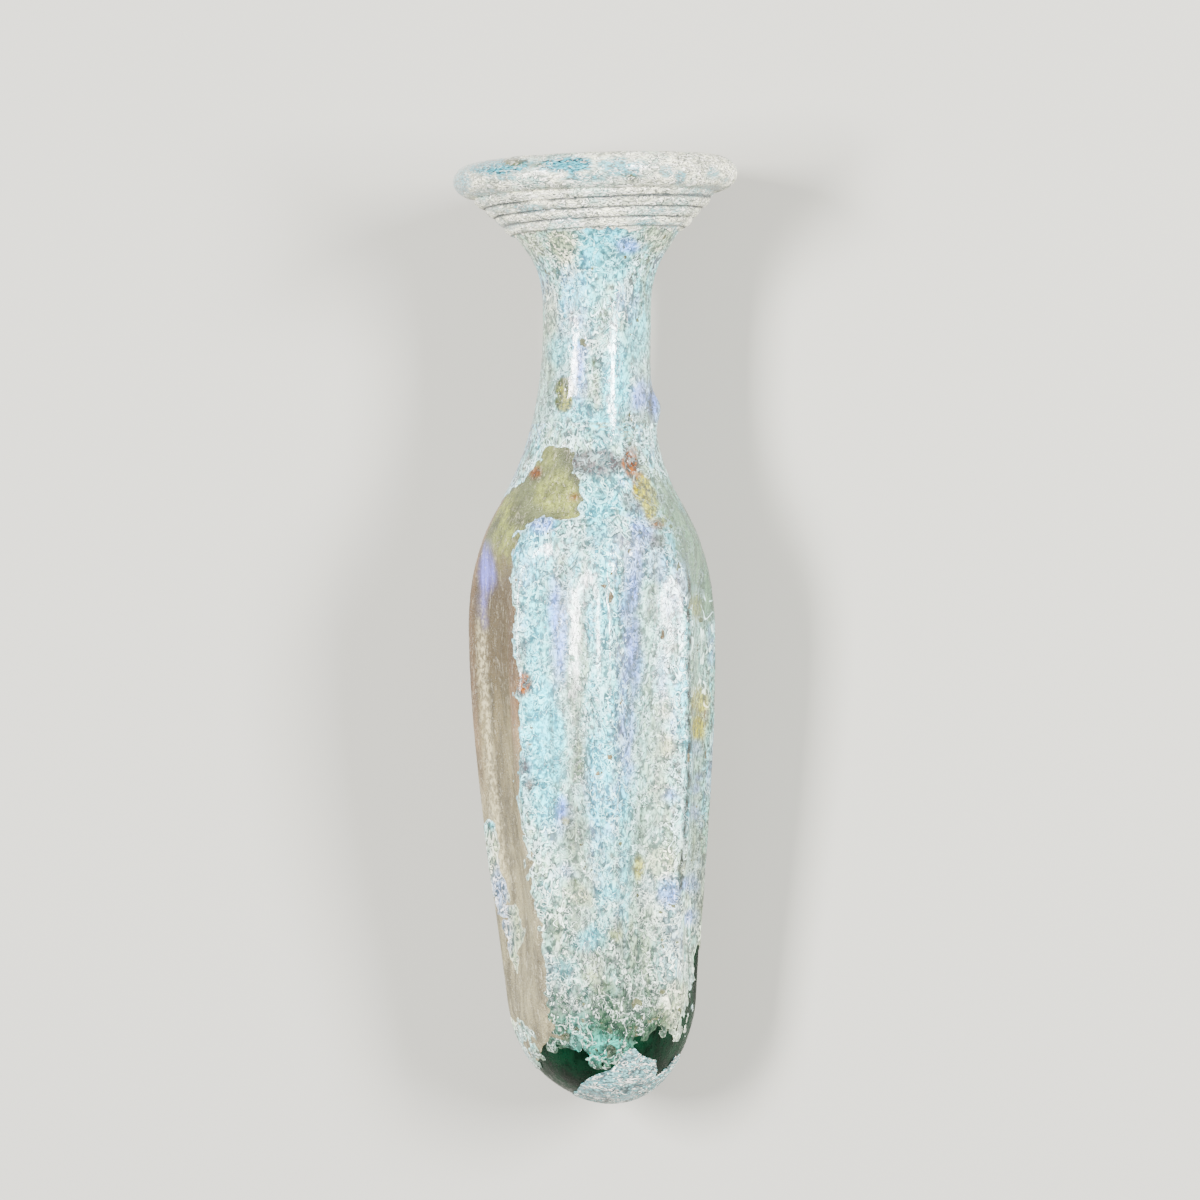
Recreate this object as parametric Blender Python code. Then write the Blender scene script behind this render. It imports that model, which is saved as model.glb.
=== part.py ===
"""Small ancient glass bottle with eight flutes and a thread-wound rim, lying on its side.

The vessel is one hollow piece of blown glass. It is shaped upright, with its facing side
towards -Y and its height along +Z, and then laid down with its mouth towards +Y.
All sizes are in metres. An azimuth of 0 is the facing side, and it grows towards +X.
"""
import math

import bmesh
import bpy
import numpy as np
from mathutils import Matrix, Vector

# Lengths that stack up from the base to the lip
TIP_HEIGHT = 0.0004
BASE_HEIGHT = 0.0165
BODY_HEIGHT = 0.0500
SHOULDER_HEIGHT = 0.0173
NECK_FOOT_HEIGHT = 0.0147
NECK_HEIGHT = 0.0115
THROAT_HEIGHT = 0.0084
FLARE_HEIGHT = 0.0077
LIP_HEIGHT = 0.0050

# Outside radii where those lengths meet, measured on the flutes' crests
TIP_RADIUS = 0.0016
BASE_RADIUS = 0.01335
BODY_RADIUS = 0.01715
SHOULDER_RADIUS = 0.01275
NECK_FOOT_RADIUS = 0.0080
NECK_RADIUS = 0.0075
THROAT_RADIUS = 0.0096
FLARE_RADIUS = 0.0164
LIP_RADIUS = 0.0196

# How fast the radius grows with height where those lengths meet
BODY_SLOPE = 0.09
SHOULDER_SLOPE = -0.60
NECK_FOOT_SLOPE = -0.13
THROAT_SLOPE = 0.68
FLARE_SLOPE = 1.25

# Thickness of the glass
BODY_WALL = 0.0014
NECK_WALL = 0.0015
BASE_WALL = 0.0032
MOUTH_RADIUS = 0.0141

# Flutes: round ribs with slightly hollow faces between them
FLUTE_COUNT = 8
FLUTE_DEPTH = 0.0021
FLUTE_CREST_WIDTH = 0.75
FLUTE_AZIMUTH = math.radians(7.0)
FLUTE_FOOT = 0.006
FLUTE_FOOT_FADE = 0.024
FLUTE_TOP_FADE = 0.0100
FLUTE_ABOVE_BODY = 0.0040
INNER_FLUTE_SHARE = 0.75

# Thread of glass wound on under the lip
THREAD_PITCH = 0.0013
THREAD_TURNS = 3.7
THREAD_HEIGHT = 0.00062
THREAD_AZIMUTH = math.radians(150.0)
THREAD_TAPER_TURNS = 0.12
THREAD_LIP_GAP = 0.0001

# Small lump of glass left on the neck
LUMP_HEIGHT = 0.0011
LUMP_LENGTH = 0.0026
LUMP_WIDTH = 0.0021
LUMP_AZIMUTH = math.radians(82.0)
LUMP_ABOVE_FOOT = -0.0015

# Uneven work: the axis wanders sideways, and the mouth is set on at a slant
BASE_LEAN = 0.0022
SHOULDER_LEAN = -0.0007
NECK_LEAN = 0.00012
THROAT_LEAN = 0.00015
MOUTH_LEAN = -0.0003
MOUTH_SLANT = math.radians(1.8)

# Rest: it lies between two ribs and on its lip, which are worn flat there
LYING_AZIMUTH = FLUTE_AZIMUTH + math.radians(180.0) - math.pi / FLUTE_COUNT
WEAR_DEPTH = 0.00022

# Fineness of the mesh
COLUMNS = 6 * FLUTE_COUNT
DOME_ROWS = 7
BODY_ROWS = 8
SHOULDER_ROWS = 7
NECK_FOOT_ROWS = 6
NECK_ROWS = 4
THROAT_ROWS = 4
ROWS_PER_TURN = 5
LIP_ROWS = 7
INNER_ROWS_SHARE = 0.6

GLASS_COLOUR = (0.50, 0.62, 0.56, 1.0)
GLASS_ROUGHNESS = 0.42


def clear_scene():
    """Removes whatever the scene holds, so that the model starts empty."""
    for item in list(bpy.data.objects):
        bpy.data.objects.remove(item)


def ramp(value, start, end):
    """Rises smoothly from 0 at start to 1 at end."""
    share = min(max((value - start) / (end - start), 0.0), 1.0)
    return share * share * (3.0 - 2.0 * share)


def hermite(value, knots):
    """Reads a smooth curve through knots of (place, size, slope)."""
    for lower, upper in zip(knots, knots[1:]):
        if value <= upper[0]:
            break
    span = upper[0] - lower[0]
    share = min(max((value - lower[0]) / span, 0.0), 1.0)
    rise = share * share * (3.0 - 2.0 * share)
    leave = share * (1.0 - share) ** 2 * span
    arrive = share * share * (share - 1.0) * span
    return lower[1] + (upper[1] - lower[1]) * rise + lower[2] * leave + upper[2] * arrive


# The base is an ellipse, left where its slope equals the body's first slope
base_steepness = BODY_SLOPE * BASE_HEIGHT / BASE_RADIUS
base_share = base_steepness / math.hypot(1.0, base_steepness)
base_top = TIP_HEIGHT + BASE_HEIGHT * (1.0 - base_share)
body_widest = base_top + BODY_HEIGHT
shoulder = body_widest + SHOULDER_HEIGHT
neck_foot = shoulder + NECK_FOOT_HEIGHT
neck = neck_foot + NECK_HEIGHT
throat = neck + THROAT_HEIGHT
flare = throat + FLARE_HEIGHT
lip_top = flare + LIP_HEIGHT

OUTLINE = (
    (base_top, BASE_RADIUS / math.hypot(1.0, base_steepness), BODY_SLOPE),
    (body_widest, BODY_RADIUS, 0.0),
    (shoulder, SHOULDER_RADIUS, SHOULDER_SLOPE),
    (neck_foot, NECK_FOOT_RADIUS, NECK_FOOT_SLOPE),
    (neck, NECK_RADIUS, 0.0),
    (throat, THROAT_RADIUS, THROAT_SLOPE),
    (flare, FLARE_RADIUS, FLARE_SLOPE),
)

LEAN = (
    (0.0, BASE_LEAN, -2.2 * BASE_LEAN / BASE_HEIGHT),
    (base_top, BASE_LEAN * 0.38, -0.28 * BASE_LEAN / BASE_HEIGHT),
    (shoulder, SHOULDER_LEAN, 0.0),
    (neck, NECK_LEAN, 0.0),
    (throat, THROAT_LEAN, 0.0),
    (lip_top, MOUTH_LEAN, 0.0),
)

thread_top = flare - THREAD_LIP_GAP
thread_start = thread_top - THREAD_PITCH * THREAD_TURNS


def crest_radius(height):
    """Outside radius of the vessel on a rib's crest."""
    if height < base_top:
        below = max(TIP_HEIGHT + BASE_HEIGHT - height, 0.0) / BASE_HEIGHT
        return BASE_RADIUS * math.sqrt(max(1.0 - below * below, 0.0))
    return hermite(height, OUTLINE)


def outward(height):
    """Direction out of the wall, as its parts across and up the vessel."""
    if height < base_top:
        below = min((TIP_HEIGHT + BASE_HEIGHT - height) / BASE_HEIGHT, 1.0)
        across = math.sqrt(1.0 - below * below) / BASE_RADIUS
        direction = Vector((across, -below / BASE_HEIGHT))
        return direction.normalized()
    step = 0.00005
    slope = (crest_radius(height + step) - crest_radius(height - step)) / (2.0 * step)
    return Vector((1.0, -slope)).normalized()


def wall(height):
    """Thickness of the glass, heavy at the base and a little thicker in the neck."""
    low = BASE_WALL + (BODY_WALL - BASE_WALL) * ramp(height, 0.0, base_top)
    return low + (NECK_WALL - BODY_WALL) * ramp(height, body_widest, neck)


def flute_relief(height, azimuth):
    """How far a flute's face lies inside its ribs' crests."""
    turn = FLUTE_COUNT * (azimuth - FLUTE_AZIMUTH)
    hollow = 0.5 * (1.0 - math.cos(turn))
    face = hollow / (hollow + FLUTE_CREST_WIDTH) * (1.0 + FLUTE_CREST_WIDTH)
    flute_top = body_widest + FLUTE_ABOVE_BODY
    rise = ramp(height, FLUTE_FOOT, FLUTE_FOOT + FLUTE_FOOT_FADE)
    fall = 1.0 - ramp(height, flute_top, flute_top + FLUTE_TOP_FADE)
    return FLUTE_DEPTH * face * rise * fall


def thread_relief(height, azimuth):
    """How far the wound thread stands out of the flare."""
    lap = ((azimuth - THREAD_AZIMUTH) / math.tau) % 1.0
    turns_up = (height - thread_start) / THREAD_PITCH
    nearest = round(turns_up - lap)
    wound = nearest + lap
    if wound < 0.0 or wound > THREAD_TURNS:
        return 0.0
    offset = 2.0 * (turns_up - wound)
    ends = ramp(wound, 0.0, THREAD_TAPER_TURNS) * ramp(THREAD_TURNS - wound, 0.0, THREAD_TAPER_TURNS)
    return THREAD_HEIGHT * math.sqrt(max(1.0 - offset * offset, 0.0)) * ends


def lump_relief(height, azimuth):
    """A small drop of glass that stuck to the neck."""
    turned = math.remainder(azimuth - LUMP_AZIMUTH, math.tau)
    across = turned * NECK_FOOT_RADIUS / LUMP_WIDTH
    along = (height - neck_foot - LUMP_ABOVE_FOOT) / LUMP_LENGTH
    return LUMP_HEIGHT * math.exp(-1.5 * (across * across + along * along))


def set_out(radius, height, azimuth):
    """Puts a point of the upright vessel in place, with its lean and its slanted mouth."""
    x = radius * math.sin(azimuth)
    slant = math.tan(MOUTH_SLANT) * ramp(height, neck, flare)
    return Vector((x + hermite(height, LEAN), -radius * math.cos(azimuth), height + slant * x))


def outer_point(height, azimuth):
    """A point of the outside, with its flutes, thread and lump."""
    stand = thread_relief(height, azimuth) + lump_relief(height, azimuth)
    stand -= flute_relief(height, azimuth)
    across, up = outward(height)
    return set_out(crest_radius(height) + stand * across, height + stand * up, azimuth)


def lip_point(angle, azimuth):
    """A point of the round lip: its angle runs from the underside, over the top, and inside."""
    middle = flare + 0.5 * LIP_HEIGHT
    width = (LIP_RADIUS - FLARE_RADIUS) if angle < 0.5 * math.pi else (FLARE_RADIUS - MOUTH_RADIUS)
    radius = FLARE_RADIUS + width * math.cos(angle)
    return set_out(radius, middle + 0.5 * LIP_HEIGHT * math.sin(angle), azimuth)


def inner_point(height, azimuth):
    """A point of the inside, one wall's thickness in from the outside at this height."""
    across, up = outward(height)
    depth = wall(height)
    radius = crest_radius(height) - depth * across - INNER_FLUTE_SHARE * flute_relief(height, azimuth)
    return set_out(radius, height - depth * up, azimuth)


def dome_heights(rows):
    """Heights of the rings around the base, close together where it is flat."""
    end = math.acos(base_share)
    angles = [end * row / rows for row in range(1, rows + 1)]
    return [TIP_HEIGHT + BASE_HEIGHT * (1.0 - math.cos(angle)) for angle in angles]


def ring_heights(share):
    """Heights of the rings from the base to the foot of the thread."""
    heights = dome_heights(max(round(DOME_ROWS * share), 3))
    stretches = (
        (base_top, body_widest, BODY_ROWS),
        (body_widest, shoulder, SHOULDER_ROWS),
        (shoulder, neck_foot, NECK_FOOT_ROWS),
        (neck_foot, neck, NECK_ROWS),
        (neck, thread_start - 0.5 * THREAD_PITCH, THROAT_ROWS),
    )
    for start, end, rows in stretches:
        count = max(round(rows * share), 2)
        heights += [start + (end - start) * (row + 1) / count for row in range(count)]
    return heights


def ring(mesh, place):
    """Adds one ring of points, each placed from its azimuth."""
    first = FLUTE_AZIMUTH
    return [mesh.verts.new(place(first + math.tau * column / COLUMNS)) for column in range(COLUMNS)]


def build_rings(mesh):
    """Adds every ring, from the outside of the base over the lip to the inside of the base."""
    rings = [ring(mesh, lambda azimuth: set_out(TIP_RADIUS, 0.3 * TIP_HEIGHT, azimuth))]
    for height in ring_heights(1.0):
        rings.append(ring(mesh, lambda azimuth: outer_point(height, azimuth)))
    thread_rows = round((THREAD_TURNS + 0.5) * ROWS_PER_TURN)
    thread_foot = thread_start - 0.5 * THREAD_PITCH
    for row in range(1, thread_rows):
        height = thread_foot + (thread_top - thread_foot) * row / thread_rows
        rings.append(ring(mesh, lambda azimuth: outer_point(height, azimuth)))
    for row in range(LIP_ROWS + 1):
        angle = -0.5 * math.pi + 1.5 * math.pi * row / LIP_ROWS
        if row == LIP_ROWS:
            angle = math.pi
        rings.append(ring(mesh, lambda azimuth: lip_point(angle, azimuth)))
    inner_heights = ring_heights(INNER_ROWS_SHARE) + [thread_start, 0.5 * (thread_start + thread_top)]
    for height in sorted(inner_heights, reverse=True):
        rings.append(ring(mesh, lambda azimuth: inner_point(height, azimuth)))
    return rings


def skin_rings(mesh, rings):
    """Joins each ring to the next with triangles, and closes both ends on a point."""
    for lower, upper in zip(rings, rings[1:]):
        for column in range(COLUMNS):
            after = (column + 1) % COLUMNS
            mesh.faces.new((lower[column], lower[after], upper[after]))
            mesh.faces.new((lower[column], upper[after], upper[column]))
    ends = ((rings[0], set_out(0.0, 0.0, 0.0)), (rings[-1], set_out(0.0, TIP_HEIGHT + BASE_WALL, 0.0)))
    for edge, point in ends:
        middle = mesh.verts.new(point)
        for column in range(COLUMNS):
            mesh.faces.new((edge[column], edge[(column + 1) % COLUMNS], middle))


def laid_down(points):
    """Works out how the vessel lies: the turn that sets two ribs and the lip on the ground."""
    onto_side = Matrix.Rotation(math.radians(-90.0), 3, "X")
    roll = Matrix.Rotation(math.pi - LYING_AZIMUTH, 3, "Z")
    lying = np.array(onto_side @ roll)
    flat = points @ lying.T
    near_lip = points[:, 2] > throat
    low, high = 0.0, math.radians(12.0)
    for _ in range(40):
        tilt = 0.5 * (low + high)
        heights = flat[:, 1] * math.sin(tilt) + flat[:, 2] * math.cos(tilt)
        if heights[near_lip].min() < heights[~near_lip].min():
            low = tilt
        else:
            high = tilt
    return Matrix.Rotation(tilt, 3, "X") @ onto_side @ roll


def wear_flat(mesh):
    """Cuts away what lies below the ground, and closes the small flats that this leaves."""
    everything = mesh.verts[:] + mesh.edges[:] + mesh.faces[:]
    bmesh.ops.bisect_plane(
        mesh, geom=everything, plane_co=(0.0, 0.0, 0.0), plane_no=(0.0, 0.0, -1.0), clear_outer=True
    )
    open_edges = [edge for edge in mesh.edges if edge.is_boundary]
    bmesh.ops.holes_fill(mesh, edges=open_edges)
    for edge in open_edges:
        edge.smooth = False


def glass_material():
    """Weathered pale green glass, as it looks under its film."""
    material = bpy.data.materials.new("weathered_glass")
    material.use_nodes = True
    shader = material.node_tree.nodes["Principled BSDF"]
    shader.inputs["Base Color"].default_value = GLASS_COLOUR
    shader.inputs["Roughness"].default_value = GLASS_ROUGHNESS
    shader.inputs["Metallic"].default_value = 0.0
    return material


def vessel():
    """The whole bottle: body, neck, thread and lip in one piece of glass."""
    mesh = bmesh.new()
    skin_rings(mesh, build_rings(mesh))
    bmesh.ops.recalc_face_normals(mesh, faces=mesh.faces)
    points = np.array([point.co for point in mesh.verts])
    mesh.transform(laid_down(points).to_4x4())
    lying = np.array([point.co for point in mesh.verts])
    lowest, highest = lying.min(axis=0), lying.max(axis=0)
    middle = 0.5 * (lowest + highest)
    mesh.transform(Matrix.Translation((-middle[0], -middle[1], -lowest[2] - WEAR_DEPTH)))
    wear_flat(mesh)
    data = bpy.data.meshes.new("glass_juglet")
    mesh.to_mesh(data)
    mesh.free()
    data.shade_smooth()
    data.set_sharp_from_angle(angle=math.radians(50.0))
    data.materials.append(glass_material())
    bottle = bpy.data.objects.new("glass_juglet", data)
    bpy.context.collection.objects.link(bottle)
    return bottle


clear_scene()
vessel()
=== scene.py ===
"""Finish of the ancient glass juglet: green glass under patina, pearly film and lime crust."""
import itertools
import math

import bpy
import numpy as np
from mathutils import Matrix, Vector


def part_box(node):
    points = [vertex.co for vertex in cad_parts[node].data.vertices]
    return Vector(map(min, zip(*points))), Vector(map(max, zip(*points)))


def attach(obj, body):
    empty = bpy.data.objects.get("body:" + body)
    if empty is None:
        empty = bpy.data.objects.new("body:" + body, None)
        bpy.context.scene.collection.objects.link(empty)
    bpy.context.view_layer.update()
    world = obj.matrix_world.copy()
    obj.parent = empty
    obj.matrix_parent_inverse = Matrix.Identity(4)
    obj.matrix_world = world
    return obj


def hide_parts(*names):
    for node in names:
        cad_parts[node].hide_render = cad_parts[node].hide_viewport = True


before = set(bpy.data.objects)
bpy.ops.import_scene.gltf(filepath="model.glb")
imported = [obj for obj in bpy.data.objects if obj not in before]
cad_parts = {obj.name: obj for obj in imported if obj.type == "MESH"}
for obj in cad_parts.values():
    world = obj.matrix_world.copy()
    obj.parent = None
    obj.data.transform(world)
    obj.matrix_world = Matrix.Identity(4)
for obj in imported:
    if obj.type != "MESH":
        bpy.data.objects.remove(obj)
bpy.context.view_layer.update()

# The vessel itself: one piece of blown bottle green glass, hollow, with eight flutes pressed
# in by a mould, a thread wound on hot under its rolled lip, and a drop stuck to its neck.
# It is shaped upright in millimetres, with its facing side towards -Y, and then laid down.
TIP_HEIGHT = 0.4
BASE_HEIGHT, BASE_RADIUS = 16.5, 13.35
BODY_HEIGHT, BODY_RADIUS, BODY_SLOPE = 50.0, 17.15, 0.09
SHOULDER_HEIGHT, SHOULDER_RADIUS, SHOULDER_SLOPE = 17.3, 12.75, -0.60
NECK_FOOT_HEIGHT, NECK_FOOT_RADIUS, NECK_FOOT_SLOPE = 14.7, 8.0, -0.13
NECK_HEIGHT, NECK_RADIUS = 11.5, 7.5
THROAT_HEIGHT, THROAT_RADIUS, THROAT_SLOPE = 8.4, 9.6, 0.68
FLARE_HEIGHT, FLARE_RADIUS, FLARE_SLOPE = 7.7, 16.4, 1.25
LIP_HEIGHT, LIP_RADIUS, MOUTH_RADIUS = 5.0, 19.6, 14.1
BODY_WALL, NECK_WALL, BASE_WALL = 1.4, 1.5, 3.2
FLUTE_COUNT, FLUTE_DEPTH, FLUTE_CREST_WIDTH = 8, 2.1, 0.75
FLUTE_AZIMUTH = math.radians(7.0)
FLUTE_FOOT, FLUTE_FOOT_FADE, FLUTE_TOP_FADE, FLUTE_ABOVE_BODY = 6.0, 24.0, 10.0, 4.0
INNER_FLUTE_SHARE = 0.75
THREAD_PITCH, THREAD_TURNS, THREAD_HEIGHT, THREAD_LIP_GAP = 1.3, 3.7, 0.62, 0.1
THREAD_AZIMUTH, THREAD_TAPER_TURNS = math.radians(150.0), 0.12
LUMP_HEIGHT, LUMP_LENGTH, LUMP_WIDTH, LUMP_ABOVE_FOOT = 1.1, 2.6, 2.1, -1.5
LUMP_AZIMUTH = math.radians(82.0)
BASE_LEAN, SHOULDER_LEAN, NECK_LEAN, THROAT_LEAN, MOUTH_LEAN = 2.2, -0.7, 0.12, 0.15, -0.3
MOUTH_SLANT = math.radians(1.8)
LYING_AZIMUTH = FLUTE_AZIMUTH + math.radians(180.0) - math.pi / FLUTE_COUNT
WEAR_DEPTH = 0.22


def ramp(value, start, end):
    """Rises smoothly from 0 at start to 1 at end."""
    share = np.clip((np.asarray(value, float) - start) / (end - start), 0.0, 1.0)
    return share * share * (3.0 - 2.0 * share)


def curve(value, knots):
    """Reads a smooth curve through knots of (place, size, slope)."""
    value = np.clip(np.asarray(value, float), knots[0][0], knots[-1][0])
    result = np.full(value.shape, knots[0][1])
    for (start, size, leave), (end, next_size, arrive) in zip(knots, knots[1:]):
        span = end - start
        share = np.clip((value - start) / span, 0.0, 1.0)
        rise = share * share * (3.0 - 2.0 * share)
        bend = leave * share * (1.0 - share) ** 2 + arrive * share * share * (share - 1.0)
        result = np.where(value >= start, size + (next_size - size) * rise + bend * span, result)
    return result


base_steepness = BODY_SLOPE * BASE_HEIGHT / BASE_RADIUS
base_share = base_steepness / math.hypot(1.0, base_steepness)
base_top = TIP_HEIGHT + BASE_HEIGHT * (1.0 - base_share)
body_widest = base_top + BODY_HEIGHT
shoulder = body_widest + SHOULDER_HEIGHT
neck_foot = shoulder + NECK_FOOT_HEIGHT
neck = neck_foot + NECK_HEIGHT
throat = neck + THROAT_HEIGHT
flare = throat + FLARE_HEIGHT
lip_top = flare + LIP_HEIGHT
thread_start = flare - THREAD_LIP_GAP - THREAD_PITCH * THREAD_TURNS

OUTLINE = (
    (base_top, BASE_RADIUS / math.hypot(1.0, base_steepness), BODY_SLOPE),
    (body_widest, BODY_RADIUS, 0.0),
    (shoulder, SHOULDER_RADIUS, SHOULDER_SLOPE),
    (neck_foot, NECK_FOOT_RADIUS, NECK_FOOT_SLOPE),
    (neck, NECK_RADIUS, 0.0),
    (throat, THROAT_RADIUS, THROAT_SLOPE),
    (flare, FLARE_RADIUS, FLARE_SLOPE),
)
LEAN = (
    (0.0, BASE_LEAN, -2.2 * BASE_LEAN / BASE_HEIGHT),
    (base_top, BASE_LEAN * 0.38, -0.28 * BASE_LEAN / BASE_HEIGHT),
    (shoulder, SHOULDER_LEAN, 0.0),
    (neck, NECK_LEAN, 0.0),
    (throat, THROAT_LEAN, 0.0),
    (lip_top, MOUTH_LEAN, 0.0),
)


def section_line():
    """The section of the glass, from the tip up the outside, over the lip and down the inside.

    Gives each point's distance along the line, its radius and height, the height on the
    outside that it belongs to, and how much of the flutes' depth and of the thread it takes.
    """
    step = 0.04
    turn = np.linspace(0.0, math.acos(base_share), 400, endpoint=False)
    rise = np.arange(base_top, flare, step)
    outer_height = np.concatenate((TIP_HEIGHT + BASE_HEIGHT * (1.0 - np.cos(turn)), rise))
    outer_radius = np.concatenate((BASE_RADIUS * np.sin(turn), curve(rise, OUTLINE)))
    slope = np.gradient(outer_radius) / np.maximum(np.gradient(outer_height), 1e-6)
    across = 1.0 / np.hypot(1.0, slope)
    thick = BASE_WALL + (BODY_WALL - BASE_WALL) * ramp(outer_height, 0.0, base_top)
    thick += (NECK_WALL - BODY_WALL) * ramp(outer_height, body_widest, neck)
    inner_radius = (outer_radius - thick * across)[::-1]
    inner_height = (outer_height + thick * slope * across)[::-1]
    lip_turn = np.linspace(-0.5 * math.pi, math.pi, 240)
    width = np.where(lip_turn < 0.5 * math.pi, LIP_RADIUS - FLARE_RADIUS, FLARE_RADIUS - MOUTH_RADIUS)
    lip_radius = FLARE_RADIUS + width * np.cos(lip_turn)
    lip_height = flare + 0.5 * LIP_HEIGHT * (1.0 + np.sin(lip_turn))
    below_lip = (inner_height < flare) & (inner_radius > 0.0)
    radius = np.concatenate((outer_radius, lip_radius, inner_radius[below_lip]))
    height = np.concatenate((outer_height, lip_height, inner_height[below_lip]))
    belongs = np.concatenate((outer_height, np.full(240, flare), outer_height[::-1][below_lip]))
    inside = np.repeat((0.0, 1.0), (len(outer_height), 240 + below_lip.sum()))
    fluted = np.where(inside > 0.0, -INNER_FLUTE_SHARE, 1.0)
    along = np.concatenate(((0.0,), np.cumsum(np.hypot(np.diff(radius), np.diff(height)))))
    return along, radius, height, belongs, fluted, 1.0 - inside


LINE = section_line()
line_length = LINE[0][-1]
lip_start = float(np.interp(0.5, LINE[5][::-1], LINE[0][::-1]))


def line_at(height):
    """Distance along the section line at which the outside reaches a height."""
    outside = LINE[5] > 0.5
    return float(np.interp(height, LINE[2][outside], LINE[0][outside]))


def thread_relief(height, azimuth):
    """How far the wound thread stands out of the flare."""
    lap = ((azimuth - THREAD_AZIMUTH) / math.tau) % 1.0
    turns_up = (height - thread_start) / THREAD_PITCH
    wound = np.round(turns_up - lap) + lap
    offset = 2.0 * (turns_up - wound)
    ends = ramp(wound, 0.0, THREAD_TAPER_TURNS) * ramp(THREAD_TURNS - wound, 0.0, THREAD_TAPER_TURNS)
    return THREAD_HEIGHT * np.sqrt(np.maximum(1.0 - offset * offset, 0.0)) * ends


def shape(along, azimuth, lift=0.0):
    """Points of the upright vessel, lifted off its surface by so many millimetres."""
    radius, height, belongs, fluted, outside = (np.interp(along, LINE[0], row) for row in LINE[1:])
    reach = 0.05
    up = np.interp(along + reach, LINE[0], LINE[2]) - np.interp(along - reach, LINE[0], LINE[2])
    out = np.interp(along + reach, LINE[0], LINE[1]) - np.interp(along - reach, LINE[0], LINE[1])
    length = np.maximum(np.hypot(up, out), 1e-9)
    hollow = 0.5 * (1.0 - np.cos(FLUTE_COUNT * (azimuth - FLUTE_AZIMUTH)))
    face = hollow / (hollow + FLUTE_CREST_WIDTH) * (1.0 + FLUTE_CREST_WIDTH)
    flute_top = body_widest + FLUTE_ABOVE_BODY
    fade = ramp(belongs, FLUTE_FOOT, FLUTE_FOOT + FLUTE_FOOT_FADE)
    fade = fade * (1.0 - ramp(belongs, flute_top, flute_top + FLUTE_TOP_FADE))
    turned = np.remainder(azimuth - LUMP_AZIMUTH + math.pi, math.tau) - math.pi
    across = turned * NECK_FOOT_RADIUS / LUMP_WIDTH
    beside = (belongs - neck_foot - LUMP_ABOVE_FOOT) / LUMP_LENGTH
    lump = LUMP_HEIGHT * np.exp(-1.5 * (across * across + beside * beside))
    stand = (thread_relief(belongs, azimuth) + lump) * (outside > 0.5)
    stand = stand - FLUTE_DEPTH * face * fade * fluted + lift
    radius = radius + stand * up / length
    height = height - stand * out / length
    x = radius * np.sin(azimuth)
    slant = math.tan(MOUTH_SLANT) * ramp(belongs, neck, flare)
    return np.stack((x + curve(belongs, LEAN), -radius * np.cos(azimuth), height + slant * x), axis=-1)


def laid_down(points):
    """The turn that sets two ribs and the lip on the ground."""
    onto_side = Matrix.Rotation(math.radians(-90.0), 3, "X")
    onto_side = onto_side @ Matrix.Rotation(math.pi - LYING_AZIMUTH, 3, "Z")
    flat = points @ np.array(onto_side).T
    near_lip = points[:, 2] > throat
    low, high = 0.0, math.radians(12.0)
    for _ in range(40):
        tilt = 0.5 * (low + high)
        heights = flat[:, 1] * math.sin(tilt) + flat[:, 2] * math.cos(tilt)
        if heights[near_lip].min() < heights[~near_lip].min():
            low = tilt
        else:
            high = tilt
    return np.array(Matrix.Rotation(tilt, 3, "X") @ onto_side)


sample_along, sample_azimuth = np.meshgrid(
    np.arange(0.0, line_at(flare) + 9.0, 0.4), np.arange(0.0, math.tau, 0.02),
)
sample = shape(sample_along.ravel(), sample_azimuth.ravel())
LYING = laid_down(sample)
lying_sample = sample @ LYING.T
node_low, node_high = (np.array(corner) * 1000.0 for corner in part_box("glass_juglet"))
SHIFT = 0.5 * (node_low + node_high) - 0.5 * (lying_sample.min(axis=0) + lying_sample.max(axis=0))
SHIFT[2] = node_low[2] - lying_sample[:, 2].min() - WEAR_DEPTH


def in_frame(points):
    """Lays upright millimetre points down in the frame, in metres, flat where they meet the ground."""
    lying = points @ LYING.T + SHIFT
    lying[:, 2] = np.maximum(lying[:, 2], node_low[2])
    return lying * 0.001


def grain(points, size, seed):
    """Smooth random relief from -1 to 1, in lumps of about this many millimetres."""
    scaled = points / size + seed * np.array((17.31, 5.77, 11.13))
    cell = np.floor(scaled).astype(np.int64)
    inside = scaled - cell
    fade = inside ** 3 * (inside * (inside * 6.0 - 15.0) + 10.0)
    total = np.zeros(len(points))
    for corner in itertools.product((0, 1), repeat=3):
        key = (cell + corner) * np.array((374761393, 668265263, 1274126177))
        mixed = (key[:, 0] ^ key[:, 1] ^ key[:, 2]) & 0xFFFFFFFF
        mixed = ((mixed ^ (mixed >> 13)) * 1274126177) & 0xFFFFFFFF
        mixed = mixed ^ (mixed >> 16)
        weight = np.prod(np.where(corner, fade, 1.0 - fade), axis=1)
        total += weight * (mixed / 2147483648.0 - 1.0)
    return total


def clouds(points, size, seed, layers=4):
    """Random relief from about -1 to 1 that has ever finer lumps in it."""
    total = np.zeros(len(points))
    for layer in range(layers):
        total += grain(points, size * 0.5 ** layer, seed + layer) * 0.55 ** layer
    return total / 1.35


EYE_DISTANCE, EYE_ACROSS, EYE_UP = 880.0, 0.55, 69.4


def from_the_front(points):
    """Where points of the upright vessel show from its facing side, in millimetres across and up."""
    nearer = EYE_DISTANCE / (EYE_DISTANCE + points[:, 1])
    across = EYE_ACROSS + (points[:, 0] - EYE_ACROSS) * nearer
    return across, EYE_UP + (points[:, 2] - EYE_UP) * nearer


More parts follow.
